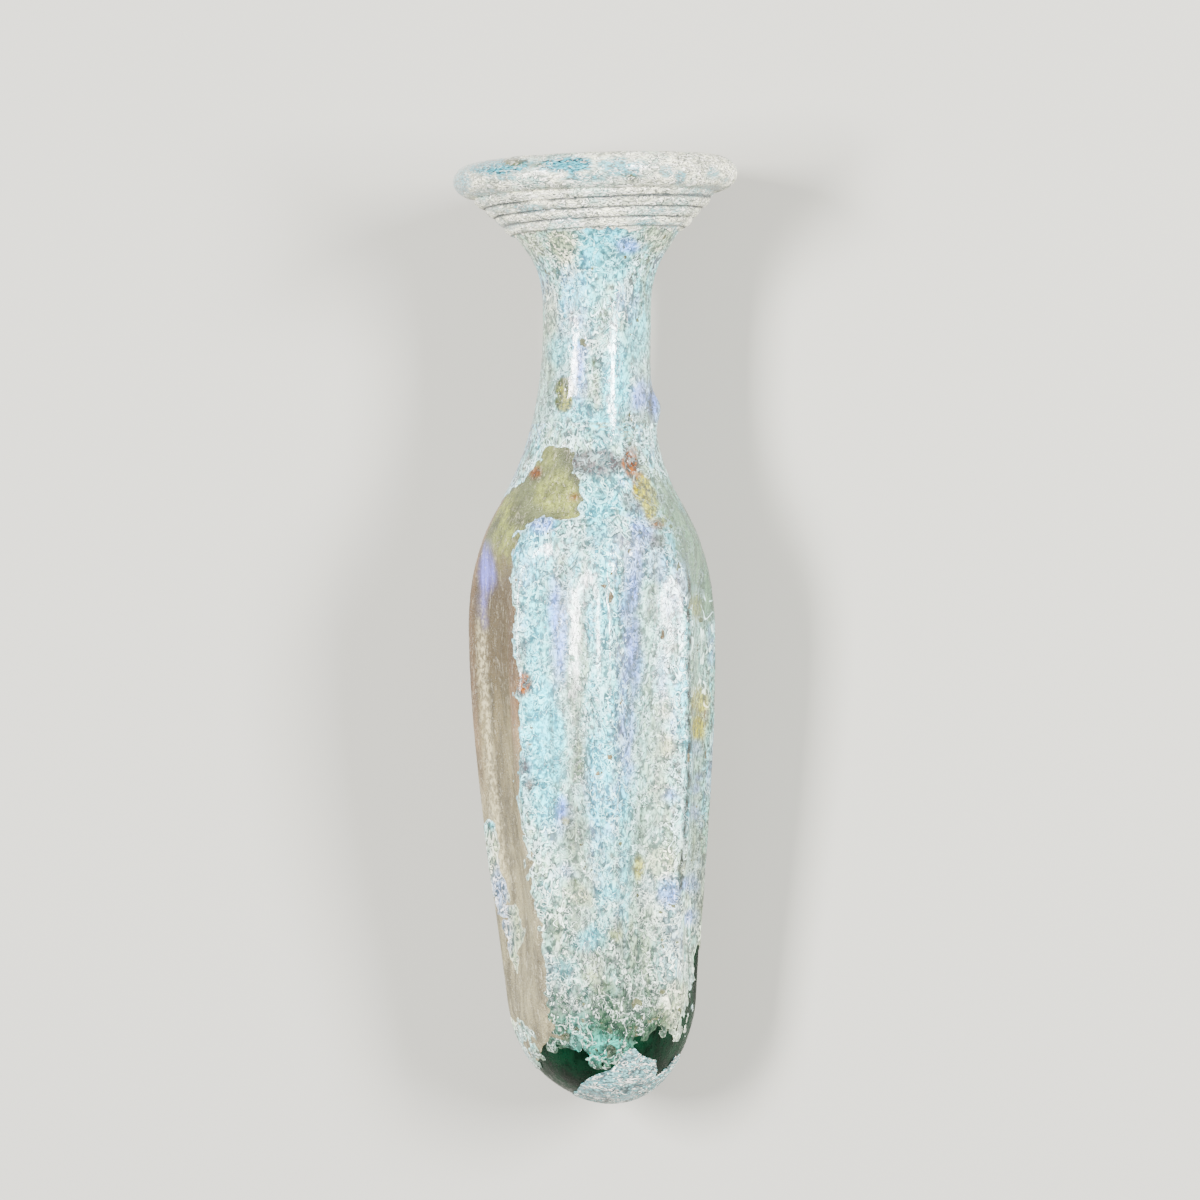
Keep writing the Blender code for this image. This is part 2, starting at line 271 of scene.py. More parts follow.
def within(place, corners):
    """Distance in millimetres to the edge of an outline seen from the front, above 0 inside it."""
    across, up = place
    nearest = np.full(across.shape, 1e9)
    inside = np.zeros(across.shape, bool)
    for (x0, y0), (x1, y1) in zip(corners, corners[1:] + corners[:1]):
        dx, dy = x1 - x0, y1 - y0
        share = np.clip(((across - x0) * dx + (up - y0) * dy) / (dx * dx + dy * dy), 0.0, 1.0)
        nearest = np.minimum(nearest, np.hypot(across - x0 - share * dx, up - y0 - share * dy))
        crosses = ((y0 > up) != (y1 > up)) & (across < (x1 - x0) * (up - y0) / ((y1 - y0) or 1e-9) + x0)
        inside ^= crosses
    return np.where(inside, nearest, -nearest)


def spot(place, across, up, half_width, half_height):
    """As within, for an upright oval spot."""
    distance = np.hypot((place[0] - across) / half_width, (place[1] - up) / half_height)
    return (1.0 - distance) * min(half_width, half_height)


def stretch(start, end, spacing):
    """Rows along the section line, about so far apart."""
    return np.linspace(start, end, max(int(round((end - start) / spacing)), 2))


def cut_to(along, azimuth, triangles, cover):
    """Keeps the triangles where cover is above 0, and cuts those on its edge along it."""
    positive = cover[triangles] > 0.0
    count = positive.sum(axis=1)
    kept = triangles[count == 3]
    edge = triangles[(count == 1) | (count == 2)]
    lone_is_in = (cover[edge] > 0.0).sum(axis=1) == 1
    lone = np.argmax((cover[edge] > 0.0) == lone_is_in[:, None], axis=1)
    rows = np.arange(len(edge))
    first, second, third = (edge[rows, (lone + step) % 3] for step in range(3))
    pairs = np.concatenate((np.stack((first, second), 1), np.stack((first, third), 1)))
    unique, which = np.unique(np.sort(pairs, axis=1), axis=0, return_inverse=True)
    share = cover[unique[:, 0]] / (cover[unique[:, 0]] - cover[unique[:, 1]])
    turned = np.remainder(azimuth[unique[:, 1]] - azimuth[unique[:, 0]] + math.pi, math.tau) - math.pi
    new_along = along[unique[:, 0]] + share * (along[unique[:, 1]] - along[unique[:, 0]])
    new_azimuth = azimuth[unique[:, 0]] + share * turned
    which = which.ravel() + len(along)
    near, far = which[:len(edge)], which[len(edge):]
    lone_faces = np.stack((first, near, far), 1)[lone_is_in]
    pair_faces = np.stack((near, second, third), 1)[~lone_is_in]
    more_faces = np.stack((near, third, far), 1)[~lone_is_in]
    faces = np.concatenate((kept, lone_faces, pair_faces, more_faces))
    along = np.concatenate((along, new_along))
    azimuth = np.concatenate((azimuth, new_azimuth))
    cover = np.concatenate((cover, np.zeros(len(new_along))))
    used, faces = np.unique(faces, return_inverse=True)
    return along[used], azimuth[used], faces.reshape(-1, 3), cover[used]


def make_piece(name, points, faces, masks, material, sharp_angle=60.0):
    """A mesh object of the juglet in the frame, smooth, with its masks and its material."""
    mesh = bpy.data.meshes.new(name)
    mesh.from_pydata(in_frame(points).tolist(), [], faces.tolist())
    for mask, values in masks.items():
        attribute = mesh.attributes.new(mask, "FLOAT", "POINT")
        attribute.data.foreach_set("value", np.clip(values, 0.0, 1.0).astype(np.float32))
    mesh.shade_smooth()
    mesh.set_sharp_from_angle(angle=math.radians(sharp_angle))
    mesh.materials.append(material)
    piece = bpy.data.objects.new(name, mesh)
    bpy.context.scene.collection.objects.link(piece)
    return piece


def layer(name, rows, columns, cover_at, lift_at, under, masks_at, material):
    """A layer on the glass, kept where its cover is above 0 and turned down at its ragged edge.

    cover_at, lift_at and masks_at read the distance along the section line, the azimuth and
    the upright points. The edge goes down to the lift under.
    """
    row_grid, turn_grid = np.meshgrid(rows, np.arange(columns) * math.tau / columns, indexing="ij")
    along, azimuth = row_grid.ravel(), turn_grid.ravel()
    number = np.arange(len(along)).reshape(row_grid.shape)
    a, b = number[:-1].ravel(), np.roll(number[:-1], -1, axis=1).ravel()
    d, c = number[1:].ravel(), np.roll(number[1:], -1, axis=1).ravel()
    slanted = (number[:-1] + number[:-1] // columns).ravel() % 2 == 0
    low = np.where(slanted[:, None], np.stack((a, b, c), 1), np.stack((a, b, d), 1))
    high = np.where(slanted[:, None], np.stack((a, c, d), 1), np.stack((b, c, d), 1))
    cover = cover_at(along, azimuth, shape(along, azimuth))
    along, azimuth, faces, cover = cut_to(along, azimuth, np.concatenate((low, high)), cover)
    upright = shape(along, azimuth)
    top = shape(along, azimuth, lift_at(along, azimuth, upright, cover))
    sides = np.concatenate((faces[:, (0, 1)], faces[:, (1, 2)], faces[:, (2, 0)]))
    code = sides[:, 0] * len(along) + sides[:, 1]
    facing = sides[:, 1] * len(along) + sides[:, 0]
    rim = sides[~np.isin(code, facing)]
    rim_points, rim_index = np.unique(rim, return_inverse=True)
    rim_index = rim_index.reshape(-1, 2)
    upper = len(top) + rim_index
    lower = upper + len(rim_points)
    walls = np.concatenate((
        np.stack((upper[:, 1], upper[:, 0], lower[:, 0]), 1),
        np.stack((upper[:, 1], lower[:, 0], lower[:, 1]), 1),
    ))
    foot = shape(along[rim_points], azimuth[rim_points], under)
    points = np.concatenate((top, top[rim_points], foot))
    masks = masks_at(along, azimuth, upright)
    masks = {
        key: np.concatenate((value, value[rim_points], value[rim_points]))
        for key, value in masks.items()
    }
    return make_piece(name, points, np.concatenate((faces, walls)), masks, material)


def colour(text):
    """A colour written as six hexadecimal digits, as the shader's linear red, green and blue."""
    parts = [int(text[place:place + 2], 16) / 255.0 for place in (0, 2, 4)]
    linear = (part / 12.92 if part <= 0.04045 else ((part + 0.055) / 1.055) ** 2.4 for part in parts)
    return (*linear, 1.0)


def feed(node, **inputs):
    """Fills a node's inputs with links or plain values.

    An input is named by its socket, with _ for a space, or as n followed by its number.
    """
    for key, value in inputs.items():
        numbered = key[0] == "n" and key[1:].isdigit()
        socket = node.inputs[int(key[1:]) if numbered else key.replace("_", " ")]
        if isinstance(value, bpy.types.NodeSocket):
            node.id_data.links.new(value, socket)
        else:
            socket.default_value = value


def add(tree, kind, settings=None, **inputs):
    """Adds a node, sets its properties and fills its inputs."""
    node = tree.nodes.new(kind)
    for key, value in (settings or {}).items():
        setattr(node, key, value)
    feed(node, **inputs)
    return node


def mix(tree, share, first, second):
    """Mixes two colours by a share from 0 to 1."""
    settings = {"data_type": "RGBA", "clamp_factor": True}
    return add(tree, "ShaderNodeMix", settings, n0=share, n6=first, n7=second).outputs[2]


def maths(tree, what, first, second=0.0, third=0.0):
    """One sum on numbers that change over the surface."""
    return add(tree, "ShaderNodeMath", {"operation": what}, n0=first, n1=second, n2=third).outputs[0]


def times(tree, first, second):
    """A product of two numbers that change over the surface."""
    return maths(tree, "MULTIPLY", first, second)


def plus(tree, first, second):
    """Their sum."""
    return maths(tree, "ADD", first, second)


def larger(tree, first, second):
    """The larger of them."""
    return maths(tree, "MAXIMUM", first, second)


def between(tree, value, low, high, to_low=0.0, to_high=1.0):
    """Stretches values between low and high to a new range, smoothly."""
    node = add(tree, "ShaderNodeMapRange", {"interpolation_type": "SMOOTHSTEP"}, Value=value)
    feed(node, From_Min=low, From_Max=high, To_Min=to_low, To_Max=to_high)
    return node.outputs[0]


def shades(tree, share, dark, light):
    """A tone between two colours written in hexadecimal digits."""
    return mix(tree, share, colour(dark), colour(light))


def mask(tree, name):
    """Reads a mask that was laid on the piece's points."""
    return add(tree, "ShaderNodeAttribute", {"attribute_name": name}).outputs["Fac"]


def noise(tree, place, scale, detail, roughness, distortion=0.0):
    """Cloudy values round a half."""
    return add(tree, "ShaderNodeTexNoise", Vector=place, Scale=scale, Detail=detail, Roughness=roughness,
               Distortion=distortion).outputs["Fac"]


def drawn_out(tree, along):
    """Places on the piece, drawn out along the vessel by so much."""
    place = add(tree, "ShaderNodeTexCoord").outputs["Object"]
    squeeze = add(tree, "ShaderNodeCombineXYZ", X=1.0, Y=maths(tree, "DIVIDE", 1.0, along), Z=1.0)
    settings = {"operation": "MULTIPLY"}
    return add(tree, "ShaderNodeVectorMath", settings, n0=place, n1=squeeze.outputs[0]).outputs[0]


def relief(tree, strength, depth, height):
    """Fine relief for a shader, so many metres deep."""
    return add(tree, "ShaderNodeBump", Strength=strength, Distance=depth, Height=height).outputs[0]


def group(name, inputs, outputs):
    """An empty node group with named inputs and outputs; its inputs' sockets and its output node."""
    tree = bpy.data.node_groups.new(name, "ShaderNodeTree")
    for key, value in inputs.items():
        socket = tree.interface.new_socket(key, in_out="INPUT", socket_type="NodeSocketFloat")
        socket.default_value = value
    for key in outputs:
        tree.interface.new_socket(key, in_out="OUTPUT", socket_type="NodeSocketFloat")
    return tree, tree.nodes.new("NodeGroupInput").outputs, tree.nodes.new("NodeGroupOutput")


def use(tree, made, **inputs):
    """Places a node group in a material with its own values, and gives its outputs."""
    node = tree.nodes.new("ShaderNodeGroup")
    node.node_tree = made
    feed(node, **inputs)
    return node.outputs


def surface(name, **plain):
    """A new material with its shader, whose plain values are set on its own sockets."""
    made = bpy.data.materials.new(name)
    made.use_nodes = True
    shader = made.node_tree.nodes["Principled BSDF"]
    feed(shader, **plain)
    return made, made.node_tree, shader


# Lumps of a chosen size in millimetres, and the same drawn out along the vessel.
mottle, given, shown = group("mottle", {"Size mm": 1.0, "Along": 1.0, "Detail": 3.0}, ("Value", "Fine"))
drawn = drawn_out(mottle, given["Along"])
scale = maths(mottle, "DIVIDE", 1000.0, given["Size mm"])
lumps = noise(mottle, drawn, scale, given["Detail"], 0.6)
fine = noise(mottle, drawn, times(mottle, scale, 4.0), 2.0, 0.7)
feed(shown, Value=between(mottle, lumps, 0.34, 0.66), Fine=between(mottle, fine, 0.34, 0.66))

# Plates: ragged patches of the film that have lifted, with a pale rim and a thin shade beside it.
plates, given, shown = group("plates", {"Size mm": 4.0}, ("Rim", "Shade", "Raised"))
place = add(plates, "ShaderNodeTexCoord").outputs["Object"]
ragged = noise(plates, place, maths(plates, "DIVIDE", 1000.0, given["Size mm"]), 4.0, 0.62)
beyond = maths(plates, "ABSOLUTE", maths(plates, "SUBTRACT", ragged, 0.508))
short_of = maths(plates, "ABSOLUTE", maths(plates, "SUBTRACT", ragged, 0.487))
feed(shown, Rim=between(plates, beyond, 0.014, 0.004), Shade=between(plates, short_of, 0.014, 0.005))
feed(shown, Raised=between(plates, ragged, 0.494, 0.508))

# Lace: winding pale raised strokes, which cover the film and the crust, with painted shadow in thin dark
# outlines beside them and painted shade in small sunk pits.
lace_inputs = {"Size mm": 1.0, "Width mm": 0.25, "Along": 1.0}
lace, given, shown = group("lace", lace_inputs, ("Strokes", "Gaps", "Height"))
drawn = drawn_out(lace, given["Along"])
scale = maths(lace, "DIVIDE", 1000.0, given["Size mm"])
wide = noise(lace, drawn, scale, 1.5, 0.5, 0.5)
narrow = noise(lace, drawn, times(lace, scale, 1.6), 1.0, 0.5, 0.4)
speck = noise(lace, drawn, times(lace, scale, 2.4), 1.0, 0.6)
share = times(lace, maths(lace, "DIVIDE", given["Width mm"], given["Size mm"]), 0.62)
loops = maths(lace, "PINGPONG", times(lace, wide, 3.2), 0.5)
small_loops = maths(lace, "PINGPONG", maths(lace, "MULTIPLY_ADD", narrow, 2.2, 0.25), 0.5)
off_line = maths(lace, "DIVIDE", maths(lace, "MINIMUM", loops, small_loops), share)
unbroken = between(lace, speck, 0.43, 0.52)
broken = times(lace, between(lace, off_line, 1.0, 0.55), unbroken)
# Painted shadow: a thin dark band just beside each raised stroke.
beside = times(lace, between(lace, off_line, 0.8, 1.2), between(lace, off_line, 2.3, 1.5))
# Small dark pits, sunk a little in the relief, painted as shade.
holes = times(lace, between(lace, loops, 0.2, 0.36), between(lace, speck, 0.46, 0.38))
lace_shadows = larger(lace, times(lace, beside, unbroken), times(lace, holes, 0.8))
body = plus(lace, times(lace, speck, 0.5), times(lace, broken, 0.6))
feed(shown, Strokes=broken, Gaps=lace_shadows, Height=maths(lace, "SUBTRACT", body, times(lace, lace_shadows, 0.4)))

glass, tree, shader = surface(
    "bottle_green_glass", Metallic=0.0, Transmission_Weight=0.6, IOR=1.2, Specular_IOR_Level=0.1)
cloudy = use(tree, mottle, Size_mm=3.0, Along=2.0, Detail=4.0)
pits = use(tree, mottle, Size_mm=0.35, Detail=3.0)
feed(shader, Base_Color=shades(tree, cloudy["Value"], "03180C", "083722"))
feed(shader, Roughness=between(tree, cloudy["Fine"], 0.0, 1.0, 0.26, 0.42))
feed(shader, Normal=relief(tree, 0.35, 0.00006, pits["Value"]))

GLASS_LIFT, GLASS_INNER_LIFT = -0.30, -0.10
GLASS_COLUMNS, GLASS_RISES_AT, GLASS_RISEN_AT, MOUTH_END = 192, 15.5, 19.0, 24.0


def whole(along, azimuth, upright):
    """Cover of a piece that is whole."""
    return np.ones(len(along))


def glass_lift(along, azimuth, upright, cover):
    """The glass lies under the film outside, and almost bare inside."""
    inner = ramp(along, lip_start + GLASS_RISES_AT, lip_start + GLASS_RISEN_AT)
    return GLASS_LIFT + (GLASS_INNER_LIFT - GLASS_LIFT) * inner


glass_rows = np.concatenate((
    stretch(0.05, line_at(thread_start - 1.0), 0.7),
    stretch(line_at(thread_start - 1.0), lip_start, 0.22)[1:],
    stretch(lip_start, lip_start + MOUTH_END, 0.5)[1:],
    stretch(lip_start + MOUTH_END, line_length - 0.05, 1.0)[1:],
))
vessel = layer(
    "juglet_glass", glass_rows, GLASS_COLUMNS, whole, glass_lift, GLASS_LIFT, lambda *place: {}, glass,
)
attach(vessel, "root")
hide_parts("glass_juglet")


def facing(azimuth):
    """1 on the side that the photograph shows, and 0 on the far side."""
    return ramp(np.cos(azimuth), -0.75, -0.25)


def marks(place, spots, wobble, softness=0.5):
    """Soft ragged spots seen from the front, each (across, up, half width, half height, strength)."""
    total = np.zeros(place[0].shape)
    for across, up, half_width, half_height, strength in spots:
        depth = spot(place, across, up, half_width, half_height) + wobble
        total = np.maximum(total, strength * ramp(depth, -softness, softness))
    return total


def stained(place, wobble, table):
    """Marks by name, each with its share of the wobble, its softness and its spots."""
    return {
        name: marks(place, spots, share * wobble, softness)
        for name, (share, softness, spots) in table.items()
    }


# Smooth patina: a thin satin skin of decayed glass, tan and olive on the left, green-grey on
# the right and lower down. It lies right on the glass and shows where the film has flaked off.
BARE_EDGE = (
    (14.2, 21.7), (13.1, 20.4), (13.2, 17.8), (12.9, 14.4), (11.8, 10.2), (10.8, 8.9), (9.1, 9.3),
    (8.6, 10.6), (6.9, 9.3), (5.2, 8.4), (3.7, 7.2), (3.3, 5.7), (1.4, 5.3), (-1.6, 6.1), (-2.4, 7.2),
    (-4.6, 8.0), (-6.5, 7.4), (-7.3, 5.9), (-12.0, -3.0), (14.0, -3.0), (19.0, 6.0), (18.0, 22.0),
)
RIGHT_SHOULDER = (
    (8.6, 86.5), (11.0, 84.5), (18.5, 78.0), (19.5, 66.0), (14.6, 65.8), (12.6, 71.0), (11.4, 74.5),
    (10.0, 78.5), (8.4, 82.0),
)
PATINA_LIFT, PATINA_COLUMNS, PATINA_ROW_STEP = -0.22, 232, 0.5

patina, tree, shader = surface("smooth_patina", Metallic=0.0, IOR=1.5, Specular_IOR_Level=0.3)
streaks = use(tree, mottle, Size_mm=1.2, Along=9.0, Detail=4.0)
specks = use(tree, mottle, Size_mm=0.5, Along=1.6, Detail=3.0)
blotches = use(tree, mottle, Size_mm=3.0, Along=1.6, Detail=5.0)
scratches = use(tree, lace, Size_mm=0.9, Width_mm=0.12, Along=3.5)
tone = shades(tree, streaks["Value"], "4B432F", "6E6140")
olive_tone = shades(tree, blotches["Value"], "393C29", "5B613E")
tone = mix(tree, mask(tree, "olive"), tone, olive_tone)
broken_yellow = times(tree, mask(tree, "yellow"), between(tree, blotches["Value"], 0.0, 0.9, 0.3, 1.0))
tone = mix(tree, broken_yellow, tone, shades(tree, specks["Value"], "6C7131", "9FA844"))
tone = mix(tree, mask(tree, "pink"), tone, shades(tree, streaks["Value"], "5E4632", "8E6C4C"))
tone = mix(tree, mask(tree, "dim"), tone, colour("453622"))
for stain_name, pattern, dark, light in (
    ("green", specks, "18291E", "324736"), ("pale", streaks, "5F5844", "8D8564"),
    ("grey", streaks, "485A4A", "6A8F72"), ("lavender", streaks, "55528E", "7D80F9"),
    ("rust", specks, "422004", "703C02"),
):
    tone = mix(tree, mask(tree, stain_name), tone, shades(tree, pattern["Value"], dark, light))
shade = between(tree, specks["Fine"], 0.2, 0.8, 0.74, 1.08)
dimmed = add(tree, "ShaderNodeVectorMath", {"operation": "SCALE"}, n0=tone, Scale=shade)
# Painted shade beside the fine scratches and in their pits.
tone = mix(tree, times(tree, scratches["Gaps"], 0.35), dimmed.outputs[0], colour("2D291E"))
tone = mix(tree, times(tree, scratches["Strokes"], 0.16), tone, colour("E6DDBE"))
# Painted highlight: pale specks in a strip down the left flute beside its ridge.
glint = between(tree, specks["Value"], 0.35, 0.95, 0.15, 0.75)
tone = mix(tree, times(tree, mask(tree, "sparkle"), glint), tone, colour("D8CC9E"))
rough = plus(tree, specks["Fine"], times(tree, streaks["Value"], 0.8))
rough = plus(tree, rough, scratches["Strokes"])
feed(shader, Base_Color=tone, Roughness=between(tree, specks["Value"], 0.0, 1.0, 0.24, 0.42))
feed(shader, Normal=relief(tree, 0.7, 0.00007, rough))


def patina_cover(along, azimuth, upright):
    """Patina is gone from the green patch round the base."""
    place = from_the_front(upright)
    gone = within(place, BARE_EDGE) * facing(azimuth) - 30.0 * (1.0 - facing(azimuth))
    return 0.6 * clouds(upright, 2.5, 31) - np.maximum(gone + 0.8, 5.5 - upright[:, 2]) - 0.2


def patina_lift(along, azimuth, upright, cover):
    """The patina thins out at its edge."""
    return PATINA_LIFT - 0.05 * (1.0 - ramp(cover, 0.0, 0.5)) + 0.01 * clouds(upright, 1.2, 32)


def right_shoulder(place, wobble):
    """The smooth green-grey of the right shoulder."""
    return ramp(within(place, RIGHT_SHOULDER) + wobble, -1.6, 1.8)


# Spots of each colour: the wobble's share, the softness, and (across, up, half sizes, strength).
PATINA_SPOTS = {
    "yellow": (1.0, 1.2, (
        (-4.8, 84.0, 2.6, 2.4, 0.8), (-3.6, 80.6, 1.3, 1.0, 0.9), (-12.8, 79.0, 1.6, 4.0, 0.9),
        (8.0, 83.0, 1.0, 2.5, 1.0), (-7.0, 90.0, 1.5, 2.0, 0.3),
    )),
    "lavender": (0.4, 0.6, (
        (-15.2, 73.2, 0.9, 3.5, 0.9), (-15.6, 69.0, 0.6, 2.0, 0.5),
    )),
    "rust": (0.5, 0.4, (
        (-9.7, 57.1, 1.2, 2.2, 1.0), (-8.4, 86.9, 0.5, 0.5, 1.0), (5.0, 87.0, 1.0, 2.4, 1.0),
        (8.8, 80.2, 1.0, 0.8, 1.0), (-2.8, 83.6, 0.7, 0.5, 0.9), (-3.9, 80.1, 0.8, 0.4, 0.7),
    )),
}


def patina_masks(along, azimuth, upright):
    """Where the patina changes colour."""
    place = from_the_front(upright)
    front = facing(azimuth)
    back = 1.0 - front
    wobble = 1.1 * clouds(upright, 3.5, 33)
    height = upright[:, 2]
    spread = ramp(clouds(upright, 12.0, 34), -0.1, 0.6)
    turned = np.degrees(np.arctan2(np.sin(azimuth), np.cos(azimuth)))
    left_edge = ramp(turned, -75.0, -81.0) * (1.0 - ramp(turned, -100.0, -120.0))
    ridge = ramp(np.abs(turned + 41.0 - 0.06 * (height - 50.0)), 6.0, 2.0) * ramp(height, 74.0, 64.0)
    low = ramp(height + 3.0 * wobble, 62.0, 32.0)
    # A painted highlight: a narrow strip beside the left ridge, over the middle of the body.
    sparkle = ramp(np.abs(turned + 73.0), 5.0, 1.0) * ramp(height, 22.0, 34.0) * ramp(height, 72.0, 62.0)
    olive = np.maximum(ramp(height, 73.0, 79.0), 0.2 * ramp(height, 52.0, 66.0))
    olive = np.maximum(olive, ramp(place[0], -6.0, -4.0) * ramp(height, 50.0, 30.0))
    stains = stained(place, wobble, PATINA_SPOTS)
    return {
        **{name: stain * front for name, stain in stains.items()},
        "olive": np.maximum(olive * front, 0.8 * spread * back),
        "pink": np.maximum(0.85 * left_edge, 0.8 * ridge),
        "green": ramp(height + 2.0 * wobble, 15.0, 9.0) * np.maximum(ramp(place[0], -10.5, -7.0), back),
        "pale": low * np.maximum(ramp(place[0], -4.0, -6.0), back),
        "dim": 0.7 * ramp(height, 54.0, 62.0) * ramp(height, 77.0, 70.0) * front,
        "sparkle": 0.8 * sparkle,
        "grey": right_shoulder(place, wobble) * front,
    }


patina_rows = stretch(line_at(5.0), line_at(thread_start), PATINA_ROW_STEP)
patina_skin = layer(
    "smooth_patina", patina_rows, PATINA_COLUMNS, patina_cover, patina_lift, GLASS_LIFT, patina_masks,
    patina,
)
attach(patina_skin, "root")


# Inner film: the inside has weathered to a dull greenish skin with brown soil caught in it, so
# that the juglet can hardly be seen through.
INNER_FILM_LIFT, INNER_FILM_START, INNER_COLUMNS = -0.02, 14.0, 192

inner_film, tree, shader = surface("inner_film", Metallic=0.0, IOR=1.5)
soil = use(tree, mottle, Size_mm=6.0, Along=2.0, Detail=5.0)
specks = use(tree, mottle, Size_mm=0.7, Along=1.3, Detail=3.0)
tone = shades(tree, soil["Value"], "3F4A3A", "6C7863")
tone = mix(tree, between(tree, specks["Value"], 0.5, 0.9, 0.0, 0.6), tone, colour("4E4230"))
feed(shader, Base_Color=tone, Roughness=between(tree, specks["Fine"], 0.0, 1.0, 0.5, 0.8))
feed(shader, Normal=relief(tree, 0.6, 0.0001, specks["Fine"]))


def inner_cover(along, azimuth, upright):
    """It begins raggedly inside the mouth, over the end of the crust."""
    return along - lip_start - INNER_FILM_START + 0.9 * clouds(upright, 1.8, 92)


def inner_lift(along, azimuth, upright, cover):
    """A thin uneven skin."""
    return INNER_FILM_LIFT + 0.02 * clouds(upright, 2.0, 91, 2)


inner_rows = np.concatenate((
    stretch(lip_start + INNER_FILM_START - 2.0, lip_start + MOUTH_END, 0.4),
    stretch(lip_start + MOUTH_END, line_length - 0.05, 1.1)[1:],
))
inner_skin = layer(
    "inner_film", inner_rows, INNER_COLUMNS, inner_cover, inner_lift, GLASS_LIFT, lambda *place: {},
    inner_film,
)
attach(inner_skin, "root")


# Pearly film: a fragile iridescent layer over the patina, silvery with cyan and lavender,
# crazed all over. It has split away with ragged edges along the left flute and at the base.
FILM_GONE_LEFT = (
    (-6.6, 90.7), (-3.3, 89.6), (-2.7, 87.2), (-2.2, 83.1), (-2.6, 81.4), (-4.9, 80.2), (-6.0, 79.8),
    (-7.0, 81.3), (-9.0, 81.0), (-10.4, 79.0), (-11.5, 76.9), (-11.7, 73.5), (-11.4, 66.6), (-11.1, 55.7),
    (-10.8, 46.0), (-10.1, 38.0), (-9.4, 33.0), (-8.0, 24.2), (-7.0, 17.0), (-6.2, 9.6), (-9.0, 5.7),
    (-16.0, 10.0), (-19.5, 28.3), (-21.0, 48.9), (-21.0, 70.0), (-18.6, 79.0), (-14.8, 81.6), (-10.7, 85.5),
    (-8.5, 88.0),
)
UPPER_STRIP = (
    (-16.0, 39.0), (-14.0, 39.0), (-13.1, 32.4), (-11.4, 28.3), (-10.4, 26.3), (-9.6, 23.9), (-10.7, 21.5),
    (-10.9, 18.1), (-12.3, 20.1), (-13.1, 24.9), (-15.0, 29.7),
)
LOWER_STRIP = (
    (-10.7, 12.7), (-9.5, 11.9), (-8.6, 9.3), (-6.9, 5.9), (-6.3, 4.4), (-9.0, 3.0), (-12.0, 7.0),
    (-12.5, 12.0),
)
FILM_LIFT, FILM_THICKNESS = -0.12, 0.09
FILM_COLUMNS, FILM_ROW_STEP, FILM_TOP = 400, 0.37, 93.5
FILM_FOOT_LIFT = GLASS_LIFT + 0.02

film, tree, shader = surface(
    "pearly_film", Metallic=0.0, IOR=1.5, Specular_IOR_Level=0.35, Coat_Roughness=0.13, Coat_IOR=1.6,
)
wide_lace = use(tree, lace, Size_mm=2.3, Width_mm=0.25, Along=2.2)
fine_lace = use(tree, lace, Size_mm=1.45, Width_mm=0.19, Along=1.5)
coarse_lace = use(tree, lace, Size_mm=4.0, Width_mm=0.42, Along=1.2)
lifted = use(tree, plates, Size_mm=4.5)
haze = use(tree, mottle, Size_mm=3.5, Along=2.2, Detail=5.0)
grit = use(tree, mottle, Size_mm=0.6, Along=1.3, Detail=3.0)
patches = use(tree, mottle, Size_mm=6.0, Along=2.0, Detail=3.0)
streaks = use(tree, mottle, Size_mm=1.3, Along=9.0, Detail=3.0)
mixed = plus(tree, times(tree, grit["Value"], 0.55), times(tree, haze["Fine"], 0.45))
mixed = between(tree, mixed, 0.3, 0.7)
tone = shades(tree, mixed, "3F5B5B", "8FE4DC")
tone = mix(tree, times(tree, haze["Value"], 0.35), tone, shades(tree, mixed, "42585A", "668899"))
drift = use(tree, mottle, Size_mm=4.5, Along=3.0, Detail=4.0)
sheen = use(tree, mottle, Size_mm=2.6, Along=2.6, Detail=4.0)
for pattern, start, full, most, dark, light in (
    (drift, 0.55, 0.95, 0.6, "4D5A80", "8FA6E6"), (sheen, 0.6, 0.95, 0.55, "1F7480", "20E0FF"),
    (drift, 0.4, 0.05, 0.55, "575C41", "A9AC70"), (sheen, 0.25, 0.0, 0.4, "5A4B47", "A8958C"),
):
    tinted = between(tree, pattern["Value"], start, full, 0.0, most)
    tone = mix(tree, tinted, tone, shades(tree, mixed, dark, light))
tone = mix(tree, times(tree, mask(tree, "calm"), 0.75), tone, shades(tree, mixed, "668276", "AAD8C2"))
for stain_name, dark, light in (
    ("cream", "5B6552", "B2BA88"), ("cyan", "2F7C8C", "2CECFF"), ("lavender", "40558F", "6A90FF"),
    ("olive", "3C4022", "656C30"), ("mauve", "3B3334", "5E5254"), ("rust", "442004", "784000"),
    ("yellow", "685E00", "A9A400"),
):
    tone = mix(tree, mask(tree, stain_name), tone, shades(tree, mixed, dark, light))
# Dark streaks down the film, denser where it is calm: in the flute hollows they are painted shade, over the
# hollows' own greener tone.
streak_share = maths(tree, "MULTIPLY_ADD", mask(tree, "calm"), 0.3, 0.35)
streak_share = times(tree, between(tree, streaks["Value"], 0.5, 0.0), streak_share)
tone = mix(tree, streak_share, tone, colour("455048"))
veiled = shades(tree, streaks["Value"], "425244", "5E7D61")
tone = mix(tree, mask(tree, "veil"), tone, veiled)
worn = times(tree, mask(tree, "thin"), between(tree, haze["Value"], 0.0, 0.5, 0.7, 1.0))
tone = mix(tree, worn, tone, shades(tree, grit["Value"], "10261A", "38543D"))
tone = mix(tree, mask(tree, "teal"), tone, shades(tree, mixed, "2A584E", "2CB29E"))
